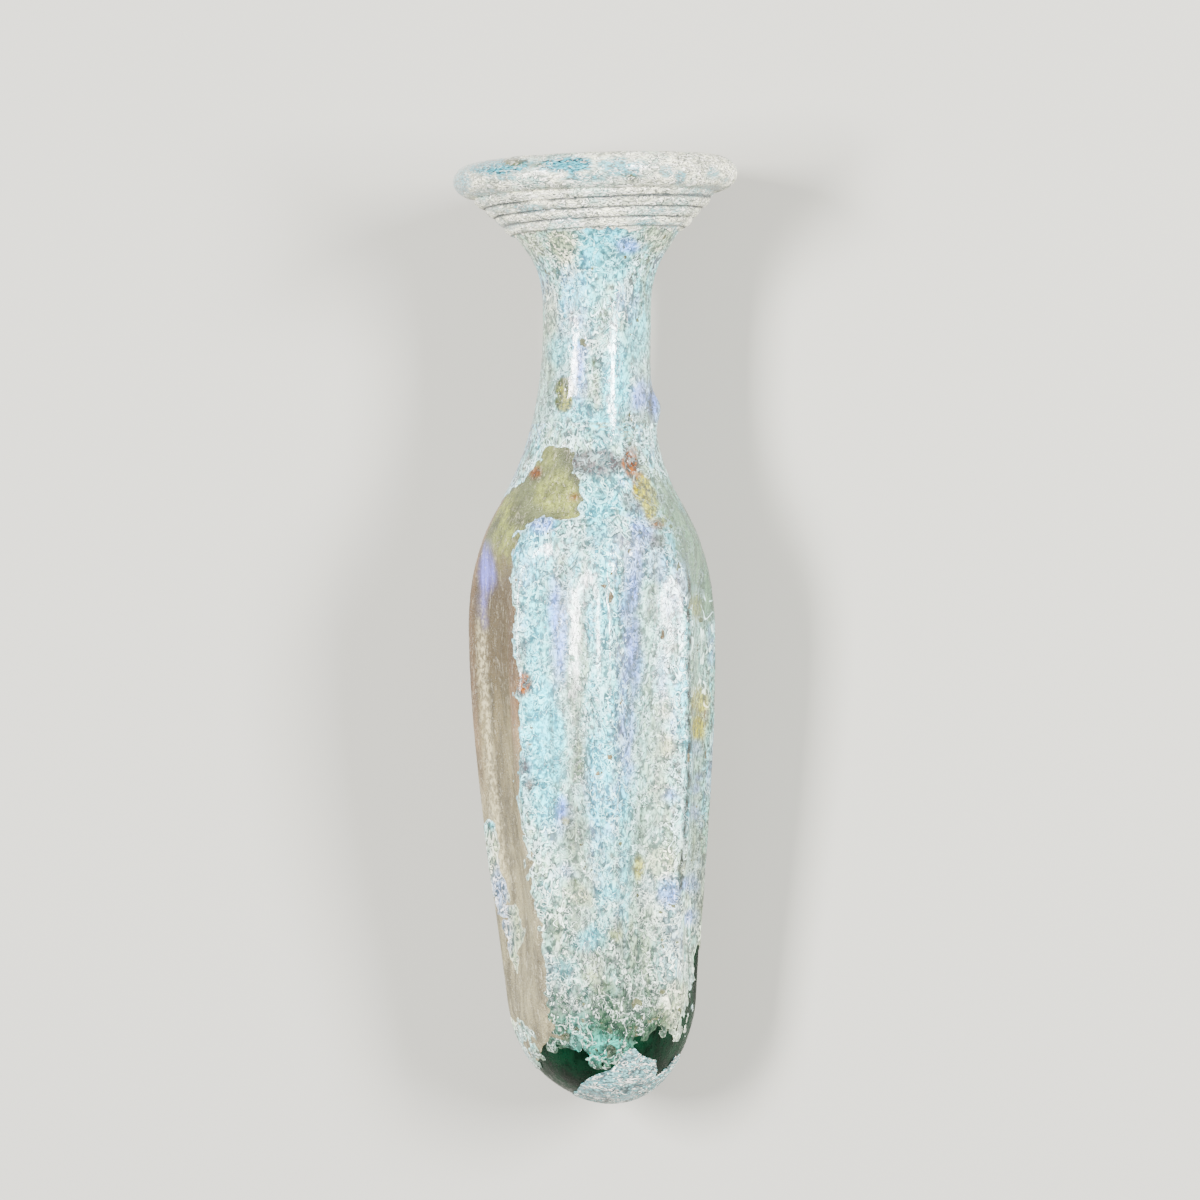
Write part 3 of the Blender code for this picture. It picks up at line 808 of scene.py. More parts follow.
# Painted shade beside the film's strokes and in its pits, tinted by the film under it.
lace_shadows = larger(tree, wide_lace["Gaps"], fine_lace["Gaps"])
shadow_share = larger(tree, mask(tree, "veil"), times(tree, mask(tree, "calm"), 0.7))
shadow_share = times(tree, lace_shadows, maths(tree, "MULTIPLY_ADD", shadow_share, -0.5, 0.85))
shadow_tone = mix(
    tree, mask(tree, "cyan"), shades(tree, mask(tree, "thin"), "2C3936", "10221A"), colour("23505A"),
)
tone = mix(tree, shadow_share, tone, shadow_tone)
tone = mix(tree, times(tree, lifted["Shade"], 0.45), tone, colour("2C3532"))
density = between(tree, patches["Value"], 0.15, 0.85, 0.3, 1.0)
wide_share = maths(tree, "MULTIPLY_ADD", mask(tree, "thin"), -0.35, 0.6)
strokes = times(tree, wide_lace["Strokes"], wide_share)
strokes = larger(tree, fine_lace["Strokes"], strokes)
stain = larger(tree, mask(tree, "rust"), larger(tree, mask(tree, "yellow"), mask(tree, "olive")))
stain = larger(tree, stain, larger(tree, mask(tree, "veil"), mask(tree, "mauve")))
stain = larger(tree, stain, times(tree, mask(tree, "calm"), 0.45))
stain = larger(tree, stain, times(tree, mask(tree, "thin"), 0.45))
unstained = maths(tree, "SUBTRACT", 1.0, times(tree, stain, 0.85))
clumps = maths(tree, "SUBTRACT", patches["Fine"], times(tree, mask(tree, "thin"), 0.8))
density = times(tree, density, between(tree, clumps, -0.2, 0.1))
strokes = times(tree, strokes, times(tree, density, unstained))
edge = times(tree, mask(tree, "rim"), maths(tree, "MULTIPLY_ADD", mask(tree, "thin"), -0.35, 0.35))
strokes = larger(tree, strokes, times(tree, edge, unstained))
strokes = larger(tree, strokes, times(tree, coarse_lace["Strokes"], mask(tree, "coarse")))
lifted_rim = times(tree, lifted["Rim"], times(tree, unstained, 0.6))
strokes = larger(tree, strokes, lifted_rim)
ink = shades(tree, mask(tree, "cream"), "D8FFFF", "FFF8D2")
for stain_name, most, light in (
    ("cyan", 0.85, "48F4FF"), ("lavender", 0.9, "8CA6FF"), ("olive", 0.8, "A8B070"),
):
    ink = mix(tree, times(tree, mask(tree, stain_name), most), ink, colour(light))
tone = mix(tree, strokes, tone, ink)
# Painted shade: a dark line in the crease beside the right ridge, and a dark ring round the neck's lump.
tone = mix(tree, mask(tree, "crease"), tone, colour("242824"))
glaze = times(tree, mask(tree, "gloss"), maths(tree, "SUBTRACT", 1.0, times(tree, lace_shadows, 0.9)))
height = plus(tree, wide_lace["Height"], fine_lace["Height"])
height = plus(tree, height, times(tree, lifted["Raised"], 0.8))
feed(shader, Base_Color=tone, Roughness=between(tree, haze["Fine"], 0.0, 1.0, 0.2, 0.42))
feed(shader, Coat_Weight=glaze, Normal=relief(tree, 0.85, 0.00012, height))


def film_cover(along, azimuth, upright):
    """The film is whole but for the left flute, the bare glass at the base and small losses."""
    place = from_the_front(upright)
    front = facing(azimuth)
    wobble = 0.8 * clouds(upright, 2.2, 41) + 0.25 * grain(upright, 0.8, 45) + 0.5 * clouds(upright, 1.1, 48)
    gone = np.minimum(
        within(place, FILM_GONE_LEFT),
        0.4 - 1.6 * np.maximum(within(place, UPPER_STRIP), within(place, LOWER_STRIP)),
    )
    gone = np.maximum(gone, within(place, BARE_EDGE) + 0.1)
    far_side = 3.0 * (clouds(upright, 14.0, 42) - 0.35)
    gone = gone * front + far_side * (1.0 - front)
    worn = ramp(upright[:, 2], 20.0, 6.0)
    holes = 1.3 * (clouds(upright, 1.2, 43, 3) - 1.0 + 0.75 * worn)
    return wobble - np.maximum(gone, holes)


CREASE = ((12.3, 76.0), (12.9, 70.0), (12.85, 45.0), (12.0, 35.0), (11.4, 27.0))


def crease_depth(place):
    """A fine crease that runs down beside the right ridge, sunk into the film and painted dark as its shade.
    """
    across, up = place
    middle = np.interp(up, [point[1] for point in CREASE][::-1], [point[0] for point in CREASE][::-1])
    ends = ramp(up, 25.0, 30.0) * ramp(up, 77.0, 72.0)
    middle = middle + 0.12 * np.sin(up * 0.9) + 0.08 * np.sin(up * 2.3)
    return ramp(np.abs(across - middle), 0.42, 0.12) * ends * (0.8 + 0.2 * np.sin(up * 1.7))


def film_lift(along, azimuth, upright, cover):
    """Thin at its edge, wavy, and split by the crease."""
    full = FILM_THICKNESS * ramp(cover, -0.05, 0.35)
    full = full - 0.07 * crease_depth(from_the_front(upright)) * facing(azimuth)
    return FILM_LIFT - FILM_THICKNESS + full + 0.03 * clouds(upright, 1.4, 46, 3)


# As for the patina: the wobble's share, the softness and the spots of each colour.
FILM_SPOTS = {
    "cyan": (1.0, 1.0, (
        (-7.5, 50.0, 3.2, 8.0, 0.95), (-8.2, 65.0, 2.0, 8.0, 0.75), (1.0, 58.0, 1.7, 26.0, 0.85),
        (-7.2, 41.5, 2.5, 3.2, 0.9), (1.2, 35.0, 1.4, 6.0, 0.7), (4.0, 37.0, 0.9, 6.0, 0.8),
        (-1.0, 22.8, 2.2, 1.6, 0.9), (1.9, 29.4, 1.4, 1.2, 0.9), (0.3, 83.7, 3.2, 3.8, 0.7),
        (-8.5, 75.0, 2.5, 3.5, 0.7), (3.2, 93.0, 1.6, 2.6, 0.9), (-4.0, 19.0, 1.4, 1.6, 0.8),
    )),
    "lavender": (0.8, 0.8, (
        (-5.0, 65.0, 1.0, 5.0, 0.9), (4.9, 71.5, 1.5, 5.5, 1.0), (6.0, 78.5, 1.4, 2.4, 0.5),
        (5.2, 63.0, 1.2, 5.5, 0.95), (4.4, 52.0, 0.8, 5.0, 0.6), (-5.5, 69.5, 0.9, 2.2, 0.8),
        (-7.1, 79.9, 1.4, 1.1, 0.7), (-4.6, 40.5, 1.0, 1.8, 0.9), (10.5, 42.6, 0.7, 0.8, 0.9),
        (10.1, 29.7, 1.4, 1.6, 0.9), (13.0, 30.4, 0.9, 0.9, 0.9), (14.1, 43.6, 0.8, 0.8, 0.8),
        (13.7, 40.3, 0.6, 0.9, 0.8), (13.8, 49.4, 0.6, 0.9, 0.8), (14.0, 45.1, 0.7, 0.6, 0.9),
        (-4.2, 32.6, 1.5, 1.1, 0.7), (9.0, 58.0, 0.6, 2.0, 0.6), (13.0, 26.1, 0.7, 0.7, 0.9),
        (8.5, 74.0, 1.4, 2.0, 0.5), (-13.0, 27.0, 1.4, 5.0, 0.5),
    )),
    "cream": (1.0, 1.0, (
        (9.5, 54.5, 1.0, 1.6, 0.9), (9.7, 49.8, 1.0, 1.6, 0.9), (8.7, 33.5, 1.9, 3.0, 0.8),
        (-2.3, 28.3, 2.6, 1.8, 0.9), (8.0, 20.0, 5.0, 9.0, 0.5), (14.6, 54.5, 0.9, 1.8, 0.8),
        (9.0, 44.0, 1.2, 4.0, 0.6), (11.0, 14.0, 2.0, 5.0, 0.8), (-4.2, 20.5, 1.0, 0.9, 0.9),
        (-2.0, 15.0, 1.0, 0.8, 0.9), (-12.5, 24.0, 3.0, 16.0, 0.9), (0.5, 86.8, 1.0, 1.6, 0.7),
    )),
    "olive": (0.7, 0.8, (
        (-2.7, 55.0, 1.0, 11.0, 0.75), (-2.4, 49.5, 1.1, 4.2, 0.9), (-2.8, 37.0, 1.6, 6.0, 0.55),
        (11.0, 63.0, 0.6, 0.6, 0.9), (7.2, 52.0, 1.3, 8.0, 0.15), (15.0, 62.0, 1.2, 6.0, 0.5),
        (-3.1, 30.8, 0.7, 0.7, 0.8), (14.2, 36.0, 1.0, 3.0, 0.7), (2.0, 34.3, 0.5, 0.5, 0.9),
        (1.0, 16.5, 1.8, 1.5, 0.7), (8.8, 11.0, 0.8, 2.0, 0.9), (6.5, 38.0, 0.9, 4.0, 0.5),
    )),
    "mauve": (0.6, 0.5, (
        (-0.9, 88.2, 4.2, 1.9, 0.95), (5.0, 82.8, 1.7, 1.6, 0.75), (8.6, 77.6, 1.2, 0.9, 0.8),
        (-9.9, 62.8, 0.5, 1.5, 0.9), (-10.1, 46.8, 0.6, 1.4, 0.9), (10.3, 65.8, 0.45, 0.8, 0.9),
        (-2.9, 38.0, 1.4, 4.0, 0.35), (-0.5, 78.0, 1.6, 1.6, 0.4), (-8.6, 44.2, 0.5, 0.5, 0.8),
    )),
    "rust": (0.35, 0.35, (
        (4.8, 88.4, 1.2, 2.4, 1.0), (5.9, 85.4, 1.0, 1.7, 1.0), (8.6, 79.9, 1.2, 0.8, 0.95),
        (-10.0, 57.9, 1.1, 1.6, 1.0), (-3.0, 83.9, 0.6, 0.5, 1.0), (-9.3, 43.8, 0.5, 0.6, 0.7),
    )),
    "yellow": (0.35, 0.4, (
        (6.4, 84.8, 1.2, 1.6, 1.0), (7.6, 82.6, 1.2, 2.4, 0.95), (9.6, 80.6, 0.7, 0.7, 0.8),
        (13.9, 68.7, 0.9, 1.9, 1.0), (14.0, 51.9, 1.1, 1.7, 1.0), (14.2, 55.6, 1.0, 1.8, 0.7),
        (5.9, 32.5, 0.7, 1.8, 0.8), (-4.5, 39.2, 0.5, 0.5, 0.7), (2.6, 23.5, 0.9, 0.8, 0.5),
        (-0.5, 18.0, 1.0, 0.6, 0.4),
    )),
    "coarse": (1.0, 0.8, (
        (14.6, 62.5, 1.8, 7.0, 1.0), (13.2, 22.5, 1.8, 6.0, 0.95), (-9.5, 44.5, 1.6, 3.0, 0.8),
        (6.5, 79.5, 3.0, 2.5, 0.6), (0.5, 40.5, 2.4, 2.4, 0.7), (0.6, 88.0, 3.0, 1.6, 0.3),
        (10.9, 13.5, 1.6, 5.0, 0.9), (-1.5, 73.0, 2.0, 4.0, 0.5),
    )),
    "teal": (0.5, 1.2, (
        (0.6, 8.0, 3.4, 2.0, 0.8), (-2.6, 10.8, 2.2, 1.4, 0.4),
    )),
}


def film_masks(along, azimuth, upright):
    """Where the film changes colour."""
    place = from_the_front(upright)
    front = facing(azimuth)
    back = 1.0 - front
    height = upright[:, 2]
    wobble = 0.9 * clouds(upright, 3.0, 51)
    streaky = clouds(upright * (1.0, 1.0, 0.25), 2.2, 52)
    drift = clouds(upright, 8.0, 53)
    stains = stained(place, wobble, FILM_SPOTS)
    right_strip = ramp(place[0], 12.6, 13.4) * ramp(height, 68.0, 60.0)
    right_strip = right_strip * ramp(height, 14.0, 24.0) * (0.8 + 0.5 * streaky)
    hollow = 0.5 * (1.0 - np.cos(FLUTE_COUNT * (azimuth - FLUTE_AZIMUTH)))
    # The flute hollows: a greener tone of their own, and painted shade as denser dark streaks.
    calm = ramp(hollow, 0.25, 0.85) * ramp(height, 18.0, 34.0) * ramp(height, 78.0, 66.0)
    low_cream = 0.45 * ramp(height + 4.0 * wobble, 42.0, 26.0)
    thin = np.maximum(
        0.5 * ramp(height + 3.0 * wobble, 31.0, 22.0), ramp(height + 2.6 * wobble, 21.0, 12.5),
    )
    gloss = np.clip(0.1 + 0.45 * ramp(height, 50.0, 66.0) + 0.4 * streaky, 0.0, 0.8)
    front_shares = {
        "cyan": stains["cyan"] * front * (0.75 + 0.5 * streaky),
        "lavender": stains["lavender"] * front * (0.8 + 0.6 * streaky),
        "cream": np.maximum(stains["cream"], low_cream) * front,
        "olive": np.maximum(stains["olive"], 0.6 * right_strip) * front,
    }
    back_shares = {
        "cyan": back * ramp(drift, 0.1, 0.7),
        "lavender": 0.7 * back * ramp(clouds(upright, 7.0, 54), 0.2, 0.7),
        "cream": back * ramp(-drift, 0.0, 0.6),
        "olive": 0.5 * back * ramp(streaky, 0.3, 0.8),
    }
    return {
        **{name: np.maximum(share, back_shares[name]) for name, share in front_shares.items()},
        **{name: stains[name] * front for name in ("mauve", "rust", "yellow", "coarse", "teal")},
        "thin": thin * ramp(-place[0], -11.5, -8.5) * ramp(place[0], -9.5, -7.0),
        "veil": right_shoulder(place, wobble) * front,
        "calm": calm * (0.8 + 0.4 * streaky),
        "rim": ramp(film_cover(along, azimuth, upright), 0.22, 0.02),
        "gloss": gloss * (1.0 - 0.5 * ramp(place[0], 5.0, 8.0)),
        "crease": crease_depth(place) * front,
    }


film_rows = stretch(line_at(5.0), line_at(FILM_TOP), FILM_ROW_STEP)
body_film = layer(
    "body_film", film_rows, FILM_COLUMNS, film_cover, film_lift, FILM_FOOT_LIFT, film_masks, film,
)
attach(body_film, "root")


# Neck film: the same pearly film on the neck and the flare, chalkier towards the mouth. It has
# a ring of painted shade round the small lump of glass.
NECK_COLUMNS, NECK_ROW_STEP, NECK_FILM_EDGE = 300, 0.30, 91.0


def neck_cover(along, azimuth, upright):
    """It overlaps the body's film with a ragged lower edge."""
    wobble = 1.0 * clouds(upright, 2.2, 61) + 0.3 * grain(upright, 0.8, 65)
    holes = 1.3 * (clouds(upright, 1.1, 63, 3) - 1.0)
    below = NECK_FILM_EDGE - upright[:, 2]
    return wobble - np.maximum(below, holes)


NECK_SPOTS = {
    "cyan": (1.0, 1.0, (
        (1.4, 117.0, 4.0, 4.2, 0.6), (-1.5, 112.0, 3.0, 2.5, 0.5), (2.6, 98.8, 1.9, 6.0, 0.9),
        (1.0, 93.2, 2.6, 2.2, 0.95), (5.5, 105.5, 1.6, 3.5, 0.5), (-4.6, 103.5, 2.0, 2.0, 0.5),
        (-2.4, 95.0, 2.0, 2.0, 0.6),
    )),
    "lavender": (0.6, 0.8, (
        (-2.3, 100.8, 0.9, 3.0, 0.9), (4.6, 117.7, 1.4, 0.9, 0.8), (6.2, 97.3, 1.1, 2.0, 0.9),
        (-2.0, 106.0, 2.2, 1.6, 0.15), (8.0, 96.6, 0.9, 2.4, 1.0),
    )),
    "cream": (1.0, 1.0, (
        (-4.6, 118.0, 2.6, 2.8, 0.9), (8.2, 119.0, 2.6, 2.2, 0.8), (-6.4, 108.0, 1.0, 5.0, 0.6),
        (-9.0, 119.0, 2.0, 3.0, 0.7), (-0.5, 105.0, 1.6, 1.6, 0.4),
    )),
    "olive": (0.15, 0.2, (
        (-4.4, 98.4, 1.35, 1.5, 1.0), (-4.5, 96.4, 1.3, 1.3, 1.0), (-0.4, 101.8, 0.35, 0.9, 0.8),
        (-3.8, 94.0, 0.6, 0.5, 0.6), (3.8, 107.0, 0.6, 0.8, 0.4),
    )),
    "mauve": (1.0, 0.8, (
        (0.1, 91.0, 4.6, 1.2, 0.5),
    )),
    "rust": (0.3, 0.35, (
        (4.1, 95.8, 1.0, 0.55, 0.8), (5.0, 93.7, 1.2, 1.4, 0.7), (1.1, 101.8, 0.8, 0.6, 0.7),
        (-1.0, 95.8, 1.3, 0.5, 0.5), (3.2, 94.6, 0.5, 0.6, 0.5),
    )),
    "yellow": (0.0, 0.4, (
        (-4.2, 97.5, 0.8, 1.9, 1.0),
    )),
    "coarse": (1.0, 0.8, (
        (3.0, 91.5, 3.0, 1.5, 0.6), (5.5, 96.0, 1.5, 3.0, 0.6),
    )),
}


def neck_masks(along, azimuth, upright):
    """Where the neck's film changes colour."""
    place = from_the_front(upright)
    front = facing(azimuth)
    back = 1.0 - front
    height = upright[:, 2]
    wobble = 0.8 * clouds(upright, 2.5, 66)
    drift = clouds(upright, 6.0, 67)
    stains = {name: stain * front for name, stain in stained(place, wobble, NECK_SPOTS).items()}
    chalky = np.maximum(0.4 * ramp(-drift, 0.1, 0.6), 0.7 * back * ramp(height, 108.0, 118.0))
    turned = np.remainder(azimuth - LUMP_AZIMUTH + math.pi, math.tau) - math.pi
    beside = (height - neck_foot - LUMP_ABOVE_FOOT) / LUMP_LENGTH
    from_lump = np.hypot(turned * NECK_FOOT_RADIUS / LUMP_WIDTH, beside)
    calm = ramp(np.abs(place[0]), 3.5, 6.5) * ramp(height, 112.0, 104.0)
    none = np.zeros(len(along))
    return {
        **stains,
        "cyan": np.maximum(stains["cyan"], 0.8 * back * ramp(drift, 0.1, 0.7)),
        "lavender": np.maximum(stains["lavender"], 0.6 * back * ramp(-drift, 0.3, 0.8)),
        "cream": np.maximum(stains["cream"], chalky),
        "rust": 0.7 * stains["rust"],
        "yellow": 0.5 * stains["yellow"],
        "thin": 0.12 + none,
        "teal": none,
        "veil": none,
        "calm": calm * front,
        "rim": 0.8 * ramp(neck_cover(along, azimuth, upright), 0.25, 0.05),
        "gloss": 0.9 * ramp(height + 3.0 * wobble, 110.0, 103.0),
        # Painted shade in a ring round the small lump of glass.
        "crease": 0.75 * ramp(np.abs(from_lump + 0.3 * wobble - 1.0), 0.3, 0.05),
    }


neck_rows = stretch(line_at(NECK_FILM_EDGE - 3.0), line_at(thread_start + 0.3), NECK_ROW_STEP)
neck_film = layer(
    "neck_film", neck_rows, NECK_COLUMNS, neck_cover, film_lift, FILM_FOOT_LIFT, neck_masks, film,
)
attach(neck_film, "root")


# Lime crust: chalky cream deposit of the soil, caked over the thread and the lip and lumpy,
# with windows in it where the blue-green glass shows.
CRUST_LIFT, CRUST_THICKNESS = -0.11, 0.08
LIP_COLUMNS, LIP_ROW_STEP, CRUST_END = 600, 0.14, 17.0

crust, tree, shader = surface("lime_crust", Metallic=0.0, IOR=1.5, Coat_Roughness=0.12, Coat_IOR=1.6)
wide_lace = use(tree, lace, Size_mm=2.5, Width_mm=0.36, Along=0.4)
fine_lace = use(tree, lace, Size_mm=1.5, Width_mm=0.24, Along=0.55)
haze = use(tree, mottle, Size_mm=3.0, Along=0.7, Detail=5.0)
grit = use(tree, mottle, Size_mm=0.4, Detail=3.0)
tone = shades(tree, haze["Value"], "A2A692", "FFFCDC")
tone = mix(tree, mask(tree, "pale"), tone, shades(tree, grit["Value"], "4D6F70", "8CD1D0"))
banded = use(tree, mottle, Size_mm=0.7, Along=0.16, Detail=3.0)
teal_band = shades(tree, between(tree, banded["Value"], 0.25, 0.75), "0E252C", "3C98A6")
tone = mix(tree, mask(tree, "window"), tone, teal_band)
tone = mix(tree, mask(tree, "olive"), tone, shades(tree, grit["Value"], "272A14", "4D5223"))
# Painted shade beside the crust's strokes and in its pits.
lace_shadows = larger(tree, wide_lace["Gaps"], fine_lace["Gaps"])
shadow_share = times(tree, lace_shadows, maths(tree, "MULTIPLY_ADD", mask(tree, "window"), -0.6, 0.9))
tone = mix(tree, shadow_share, tone, colour("273236"))
strokes = larger(tree, wide_lace["Strokes"], fine_lace["Strokes"])
strokes = times(tree, strokes, maths(tree, "SUBTRACT", 0.9, times(tree, mask(tree, "window"), 0.65)))
tone = mix(tree, strokes, tone, colour("FFFBEE"))
# Painted shade in the grooves between the thread's turns; on the base flakes the same mask draws dark
# cracks.
tone = mix(tree, times(tree, mask(tree, "groove"), 0.9), tone, colour("1C272C"))
gloss = maths(
    tree, "SUBTRACT", between(tree, haze["Fine"], 0.0, 1.0, 0.42, 0.7),
    times(tree, mask(tree, "window"), 0.35),
)
height = plus(tree, wide_lace["Height"], fine_lace["Height"])
height = times(tree, height, maths(tree, "SUBTRACT", 1.0, times(tree, mask(tree, "window"), 0.85)))
feed(shader, Base_Color=tone, Roughness=gloss, Coat_Weight=times(tree, mask(tree, "window"), 0.8))
feed(shader, Normal=relief(tree, 1.0, 0.00018, height))


def lip_cover(along, azimuth, upright):
    """The crust ends raggedly under the thread and inside the mouth."""
    wobble = 0.8 * clouds(upright, 1.8, 71)
    inside_end = lip_start + CRUST_END - along
    foot = along - line_at(thread_start) + 0.6
    return wobble + np.minimum(foot, inside_end)


def lip_lift(along, azimuth, upright, cover):
    """Lumps, with low places at the windows."""
    place = from_the_front(upright)
    window = lip_window(place, azimuth, upright)
    lumps = 0.06 * clouds(upright, 1.3, 72, 3) + 0.035 * grain(upright, 0.5, 73)
    full = CRUST_THICKNESS * ramp(cover, -0.05, 0.4) * (1.0 - 0.8 * window)
    lift = np.minimum(CRUST_LIFT - CRUST_THICKNESS + full + lumps * (1.0 - 0.7 * window), CRUST_LIFT + 0.03)
    belongs = np.interp(along, LINE[0], LINE[3])
    sunk = (THREAD_HEIGHT - thread_relief(belongs, azimuth)) * (along < lip_start - 0.2)
    sunk = sunk * ramp(belongs, thread_start - 0.6, thread_start + 0.3)
    return lift + sunk * (0.30 + 0.25 * clouds(upright, 2.5, 79)) * ramp(cover, 0.0, 0.8)


WINDOW_SPOTS = (
    (-13.5, 128.9, 6.0, 1.3, 1.0), (-5.0, 129.0, 6.0, 1.3, 1.0), (2.5, 129.0, 4.0, 1.1, 0.9),
    (-18.8, 126.6, 1.6, 2.2, 0.9), (-12.0, 127.2, 2.0, 0.5, 0.8), (-1.5, 127.2, 2.6, 0.6, 0.9),
    (3.8, 128.2, 2.4, 1.3, 0.9), (9.6, 128.2, 1.0, 1.0, 0.8), (11.6, 127.2, 0.7, 1.1, 0.9),
    (16.2, 127.6, 1.0, 0.9, 0.8), (17.6, 126.9, 0.5, 0.4, 0.8), (15.5, 125.6, 2.2, 0.35, 0.8),
    (15.0, 124.9, 1.8, 0.3, 0.8), (-14.0, 125.0, 2.6, 0.35, 0.7), (-9.0, 122.8, 4.5, 0.4, 0.8),
    (6.5, 120.6, 1.6, 0.4, 0.9), (10.0, 120.6, 1.6, 0.35, 0.8), (10.0, 122.6, 3.0, 0.3, 0.7),
    (-12.0, 120.6, 3.4, 0.45, 0.6), (-4.0, 121.4, 2.0, 0.5, 0.5),
)


def lip_window(place, azimuth, upright):
    """Windows in the crust: a long band on the left of the lip, and small slits on the right."""
    wobble = 0.45 * clouds(upright * (1.0, 1.0, 1.6), 1.6, 74)
    front = marks(place, WINDOW_SPOTS, wobble, 0.35) * facing(azimuth)
    return np.maximum(front, 0.8 * (1.0 - facing(azimuth)) * ramp(clouds(upright, 4.0, 75), 0.2, 0.6))


def lip_masks(along, azimuth, upright):
    """Colours of the crust on the lip."""
    place = from_the_front(upright)
    front = facing(azimuth)
    belongs = np.interp(along, LINE[0], LINE[3])
    turns = (belongs - thread_start) / THREAD_PITCH
    lap = ((azimuth - THREAD_AZIMUTH) / math.tau) % 1.0
    offset = np.abs(turns - lap - np.round(turns - lap))
    in_thread = (turns > -0.5) & (turns < THREAD_TURNS + 0.3) & (along < lip_start)
    # Painted shade in the grooves between the thread's turns.
    groove = ramp(offset, 0.35, 0.46) * in_thread * ramp(
        clouds(upright * (0.4, 0.4, 1.0), 2.2, 76), -0.6, -0.1,
    )
    spots = ((-11.3, 129.5, 1.5, 0.7, 1.0), (4.8, 127.1, 0.8, 0.5, 0.9), (-8.1, 129.0, 1.1, 0.45, 0.7))
    return {
        "window": lip_window(place, azimuth, upright),
        "pale": 0.6 * ramp(clouds(upright, 5.0, 77), 0.0, 0.6),
        "olive": marks(place, spots, 0.2 * clouds(upright, 1.0, 78), 0.25) * front,
        "groove": groove,
    }


lip_rows = np.concatenate((
    stretch(line_at(thread_start) - 1.6, lip_start, LIP_ROW_STEP),
    stretch(lip_start, lip_start + CRUST_END + 1.0, 0.3)[1:],
))
lip_crust = layer("lip_crust", lip_rows, LIP_COLUMNS, lip_cover, lip_lift, FILM_FOOT_LIFT, lip_masks, crust)
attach(lip_crust, "root")


# Crust flakes at the base: what is left of a thicker grey-blue crust, broken off round it.
BASE_FLAKE_EDGE = (
    (-3.2, 1.7), (-1.0, 3.8), (1.2, 4.5), (3.1, 5.6), (4.2, 8.2), (5.5, 7.9), (6.6, 6.8), (8.3, 6.2),
    (8.6, 4.8), (8.3, 3.8), (10.9, 6.6), (12.9, 7.8), (16.0, 5.0), (10.0, -4.0), (-5.0, -4.0),
)
FLAKE_COLUMNS, FLAKE_ROW_STEP, FLAKES_TOP = 300, 0.26, 14.0


def flake_cover(along, azimuth, upright):
    """The flakes fill the tip of the base and run up the right side."""
    place = from_the_front(upright)
    wobble = 0.35 * clouds(upright, 1.5, 81)
    front = within(place, BASE_FLAKE_EDGE)
    far_side = 7.0 - upright[:, 2] + 3.0 * clouds(upright, 7.0, 82)
    return wobble + front * facing(azimuth) + far_side * (1.0 - facing(azimuth))


def flake_masks(along, azimuth, upright):
    """Colours of the base flakes, with dark cracks that slant up to the right."""
    along_cracks = 0.8 * upright[:, 0] + 0.6 * upright[:, 2]
    slanted = upright - np.outer(0.7 * along_cracks, (0.8, 0.0, 0.6))
    return {
        "window": 0.6 * ramp(clouds(upright, 3.0, 83), 0.0, 0.5),
        "pale": ramp(clouds(upright, 6.0, 84), -1.0, -0.2),
        "olive": 0.4 * ramp(clouds(upright, 2.0, 85), 0.5, 0.8),
        "groove": 0.85 * ramp(np.abs(clouds(slanted, 1.6, 88)), 0.18, 0.03),
    }


def flake_lift(along, azimuth, upright, cover):
    """Thicker than the film, and lumpy."""
    lumps = 0.05 * clouds(upright, 1.3, 86, 3) + 0.03 * grain(upright, 0.5, 87)
    full = CRUST_THICKNESS * ramp(cover, -0.05, 0.4)
    return np.minimum(CRUST_LIFT - CRUST_THICKNESS + full + lumps, CRUST_LIFT + 0.03)


flake_rows = stretch(0.1, line_at(FLAKES_TOP), FLAKE_ROW_STEP)
base_flakes = layer(
    "base_flakes", flake_rows, FLAKE_COLUMNS, flake_cover, flake_lift, FILM_FOOT_LIFT, flake_masks, crust,
)
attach(base_flakes, "root")


# The stage: a pale floor, two soft lamps either side of the eye, and a dim even light.
FLOOR_HALF_WIDTH, FLOOR_LEVEL, LAMP_HEIGHT, ROOM_LIGHT = 3.0, -0.00005, 0.32, 0.5


def stage_floor():
    """A wide pale floor, a hair under the juglet."""
    mesh = bpy.data.meshes.new("stage_floor")
    half, low = FLOOR_HALF_WIDTH, FLOOR_LEVEL
    mesh.from_pydata(
        [(-half, -half, low), (half, -half, low), (half, half, low), (-half, half, low)], [],
        [(0, 1, 2, 3)],
    )
    made, tree, shader = surface("stage_paper", Base_Color=colour("99978F"), Roughness=0.9)
    mesh.materials.append(made)
    floor = bpy.data.objects.new("stage_floor", mesh)
    bpy.context.scene.collection.objects.link(floor)


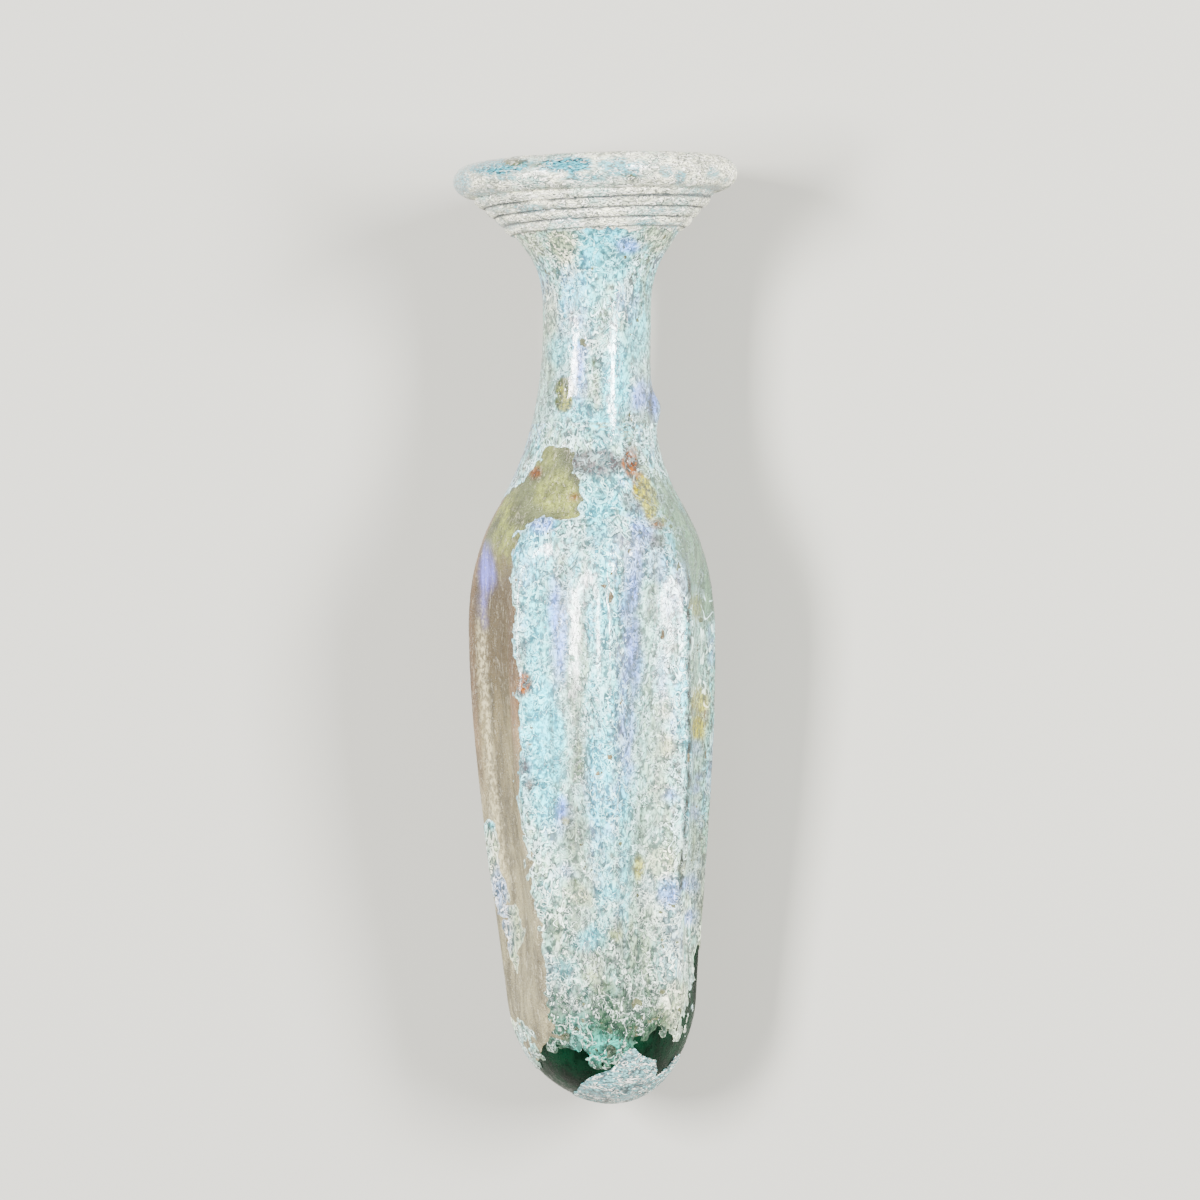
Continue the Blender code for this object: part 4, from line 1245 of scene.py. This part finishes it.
stage_floor()

PHOTO_SIZE = 1200.0
PHOTO_MM_PER_PIXEL = 0.13684
eye = in_frame(np.array(((EYE_ACROSS, -EYE_DISTANCE, EYE_UP),)))[0]
aim = in_frame(np.array(((EYE_ACROSS, 0.0, EYE_UP),)))[0]
towards_mouth = in_frame(np.array(((EYE_ACROSS, 0.0, EYE_UP + 10.0),)))[0] - aim
back = Vector(eye - aim).normalized()
up = Vector(towards_mouth).normalized()
right = up.cross(back)
eye_data = bpy.data.cameras.new("eye")
eye_data.sensor_width = 36.0
eye_data.lens = eye_data.sensor_width * EYE_DISTANCE / (PHOTO_SIZE * PHOTO_MM_PER_PIXEL)
eye_data.clip_start = 0.01
camera = bpy.data.objects.new("eye", eye_data)
camera.matrix_world = Matrix.Translation(eye) @ Matrix((right, up, back)).transposed().to_4x4()
bpy.context.scene.collection.objects.link(camera)
bpy.context.scene.camera = camera


def soft_lamp(name, azimuth, elevation, distance, width, power):
    """A tall soft lamp that looks at the juglet from a direction round the eye."""
    data = bpy.data.lights.new(name, "AREA")
    data.shape = "RECTANGLE"
    data.size, data.size_y = width, LAMP_HEIGHT
    data.energy = power
    lamp = bpy.data.objects.new(name, data)
    turned, raised = math.radians(azimuth), math.radians(elevation)
    level = back * math.cos(turned) + right * math.sin(turned)
    direction = level * math.cos(raised) + up * math.sin(raised)
    lamp.location = Vector(aim) + direction * distance
    beside = up.cross(direction).normalized()
    lamp.rotation_euler = Matrix((beside, direction.cross(beside), direction)).transposed().to_euler()
    bpy.context.scene.collection.objects.link(lamp)


soft_lamp("key_lamp", azimuth=36.0, elevation=10.0, distance=0.7, width=0.13, power=23.5)
soft_lamp("fill_lamp", azimuth=-46.0, elevation=6.0, distance=0.7, width=0.15, power=21.5)
world = bpy.data.worlds.new("room")
world.use_nodes = True
world.node_tree.nodes["Background"].inputs["Color"].default_value = colour("E4E8EC")
world.node_tree.nodes["Background"].inputs["Strength"].default_value = ROOM_LIGHT
bpy.context.scene.world = world
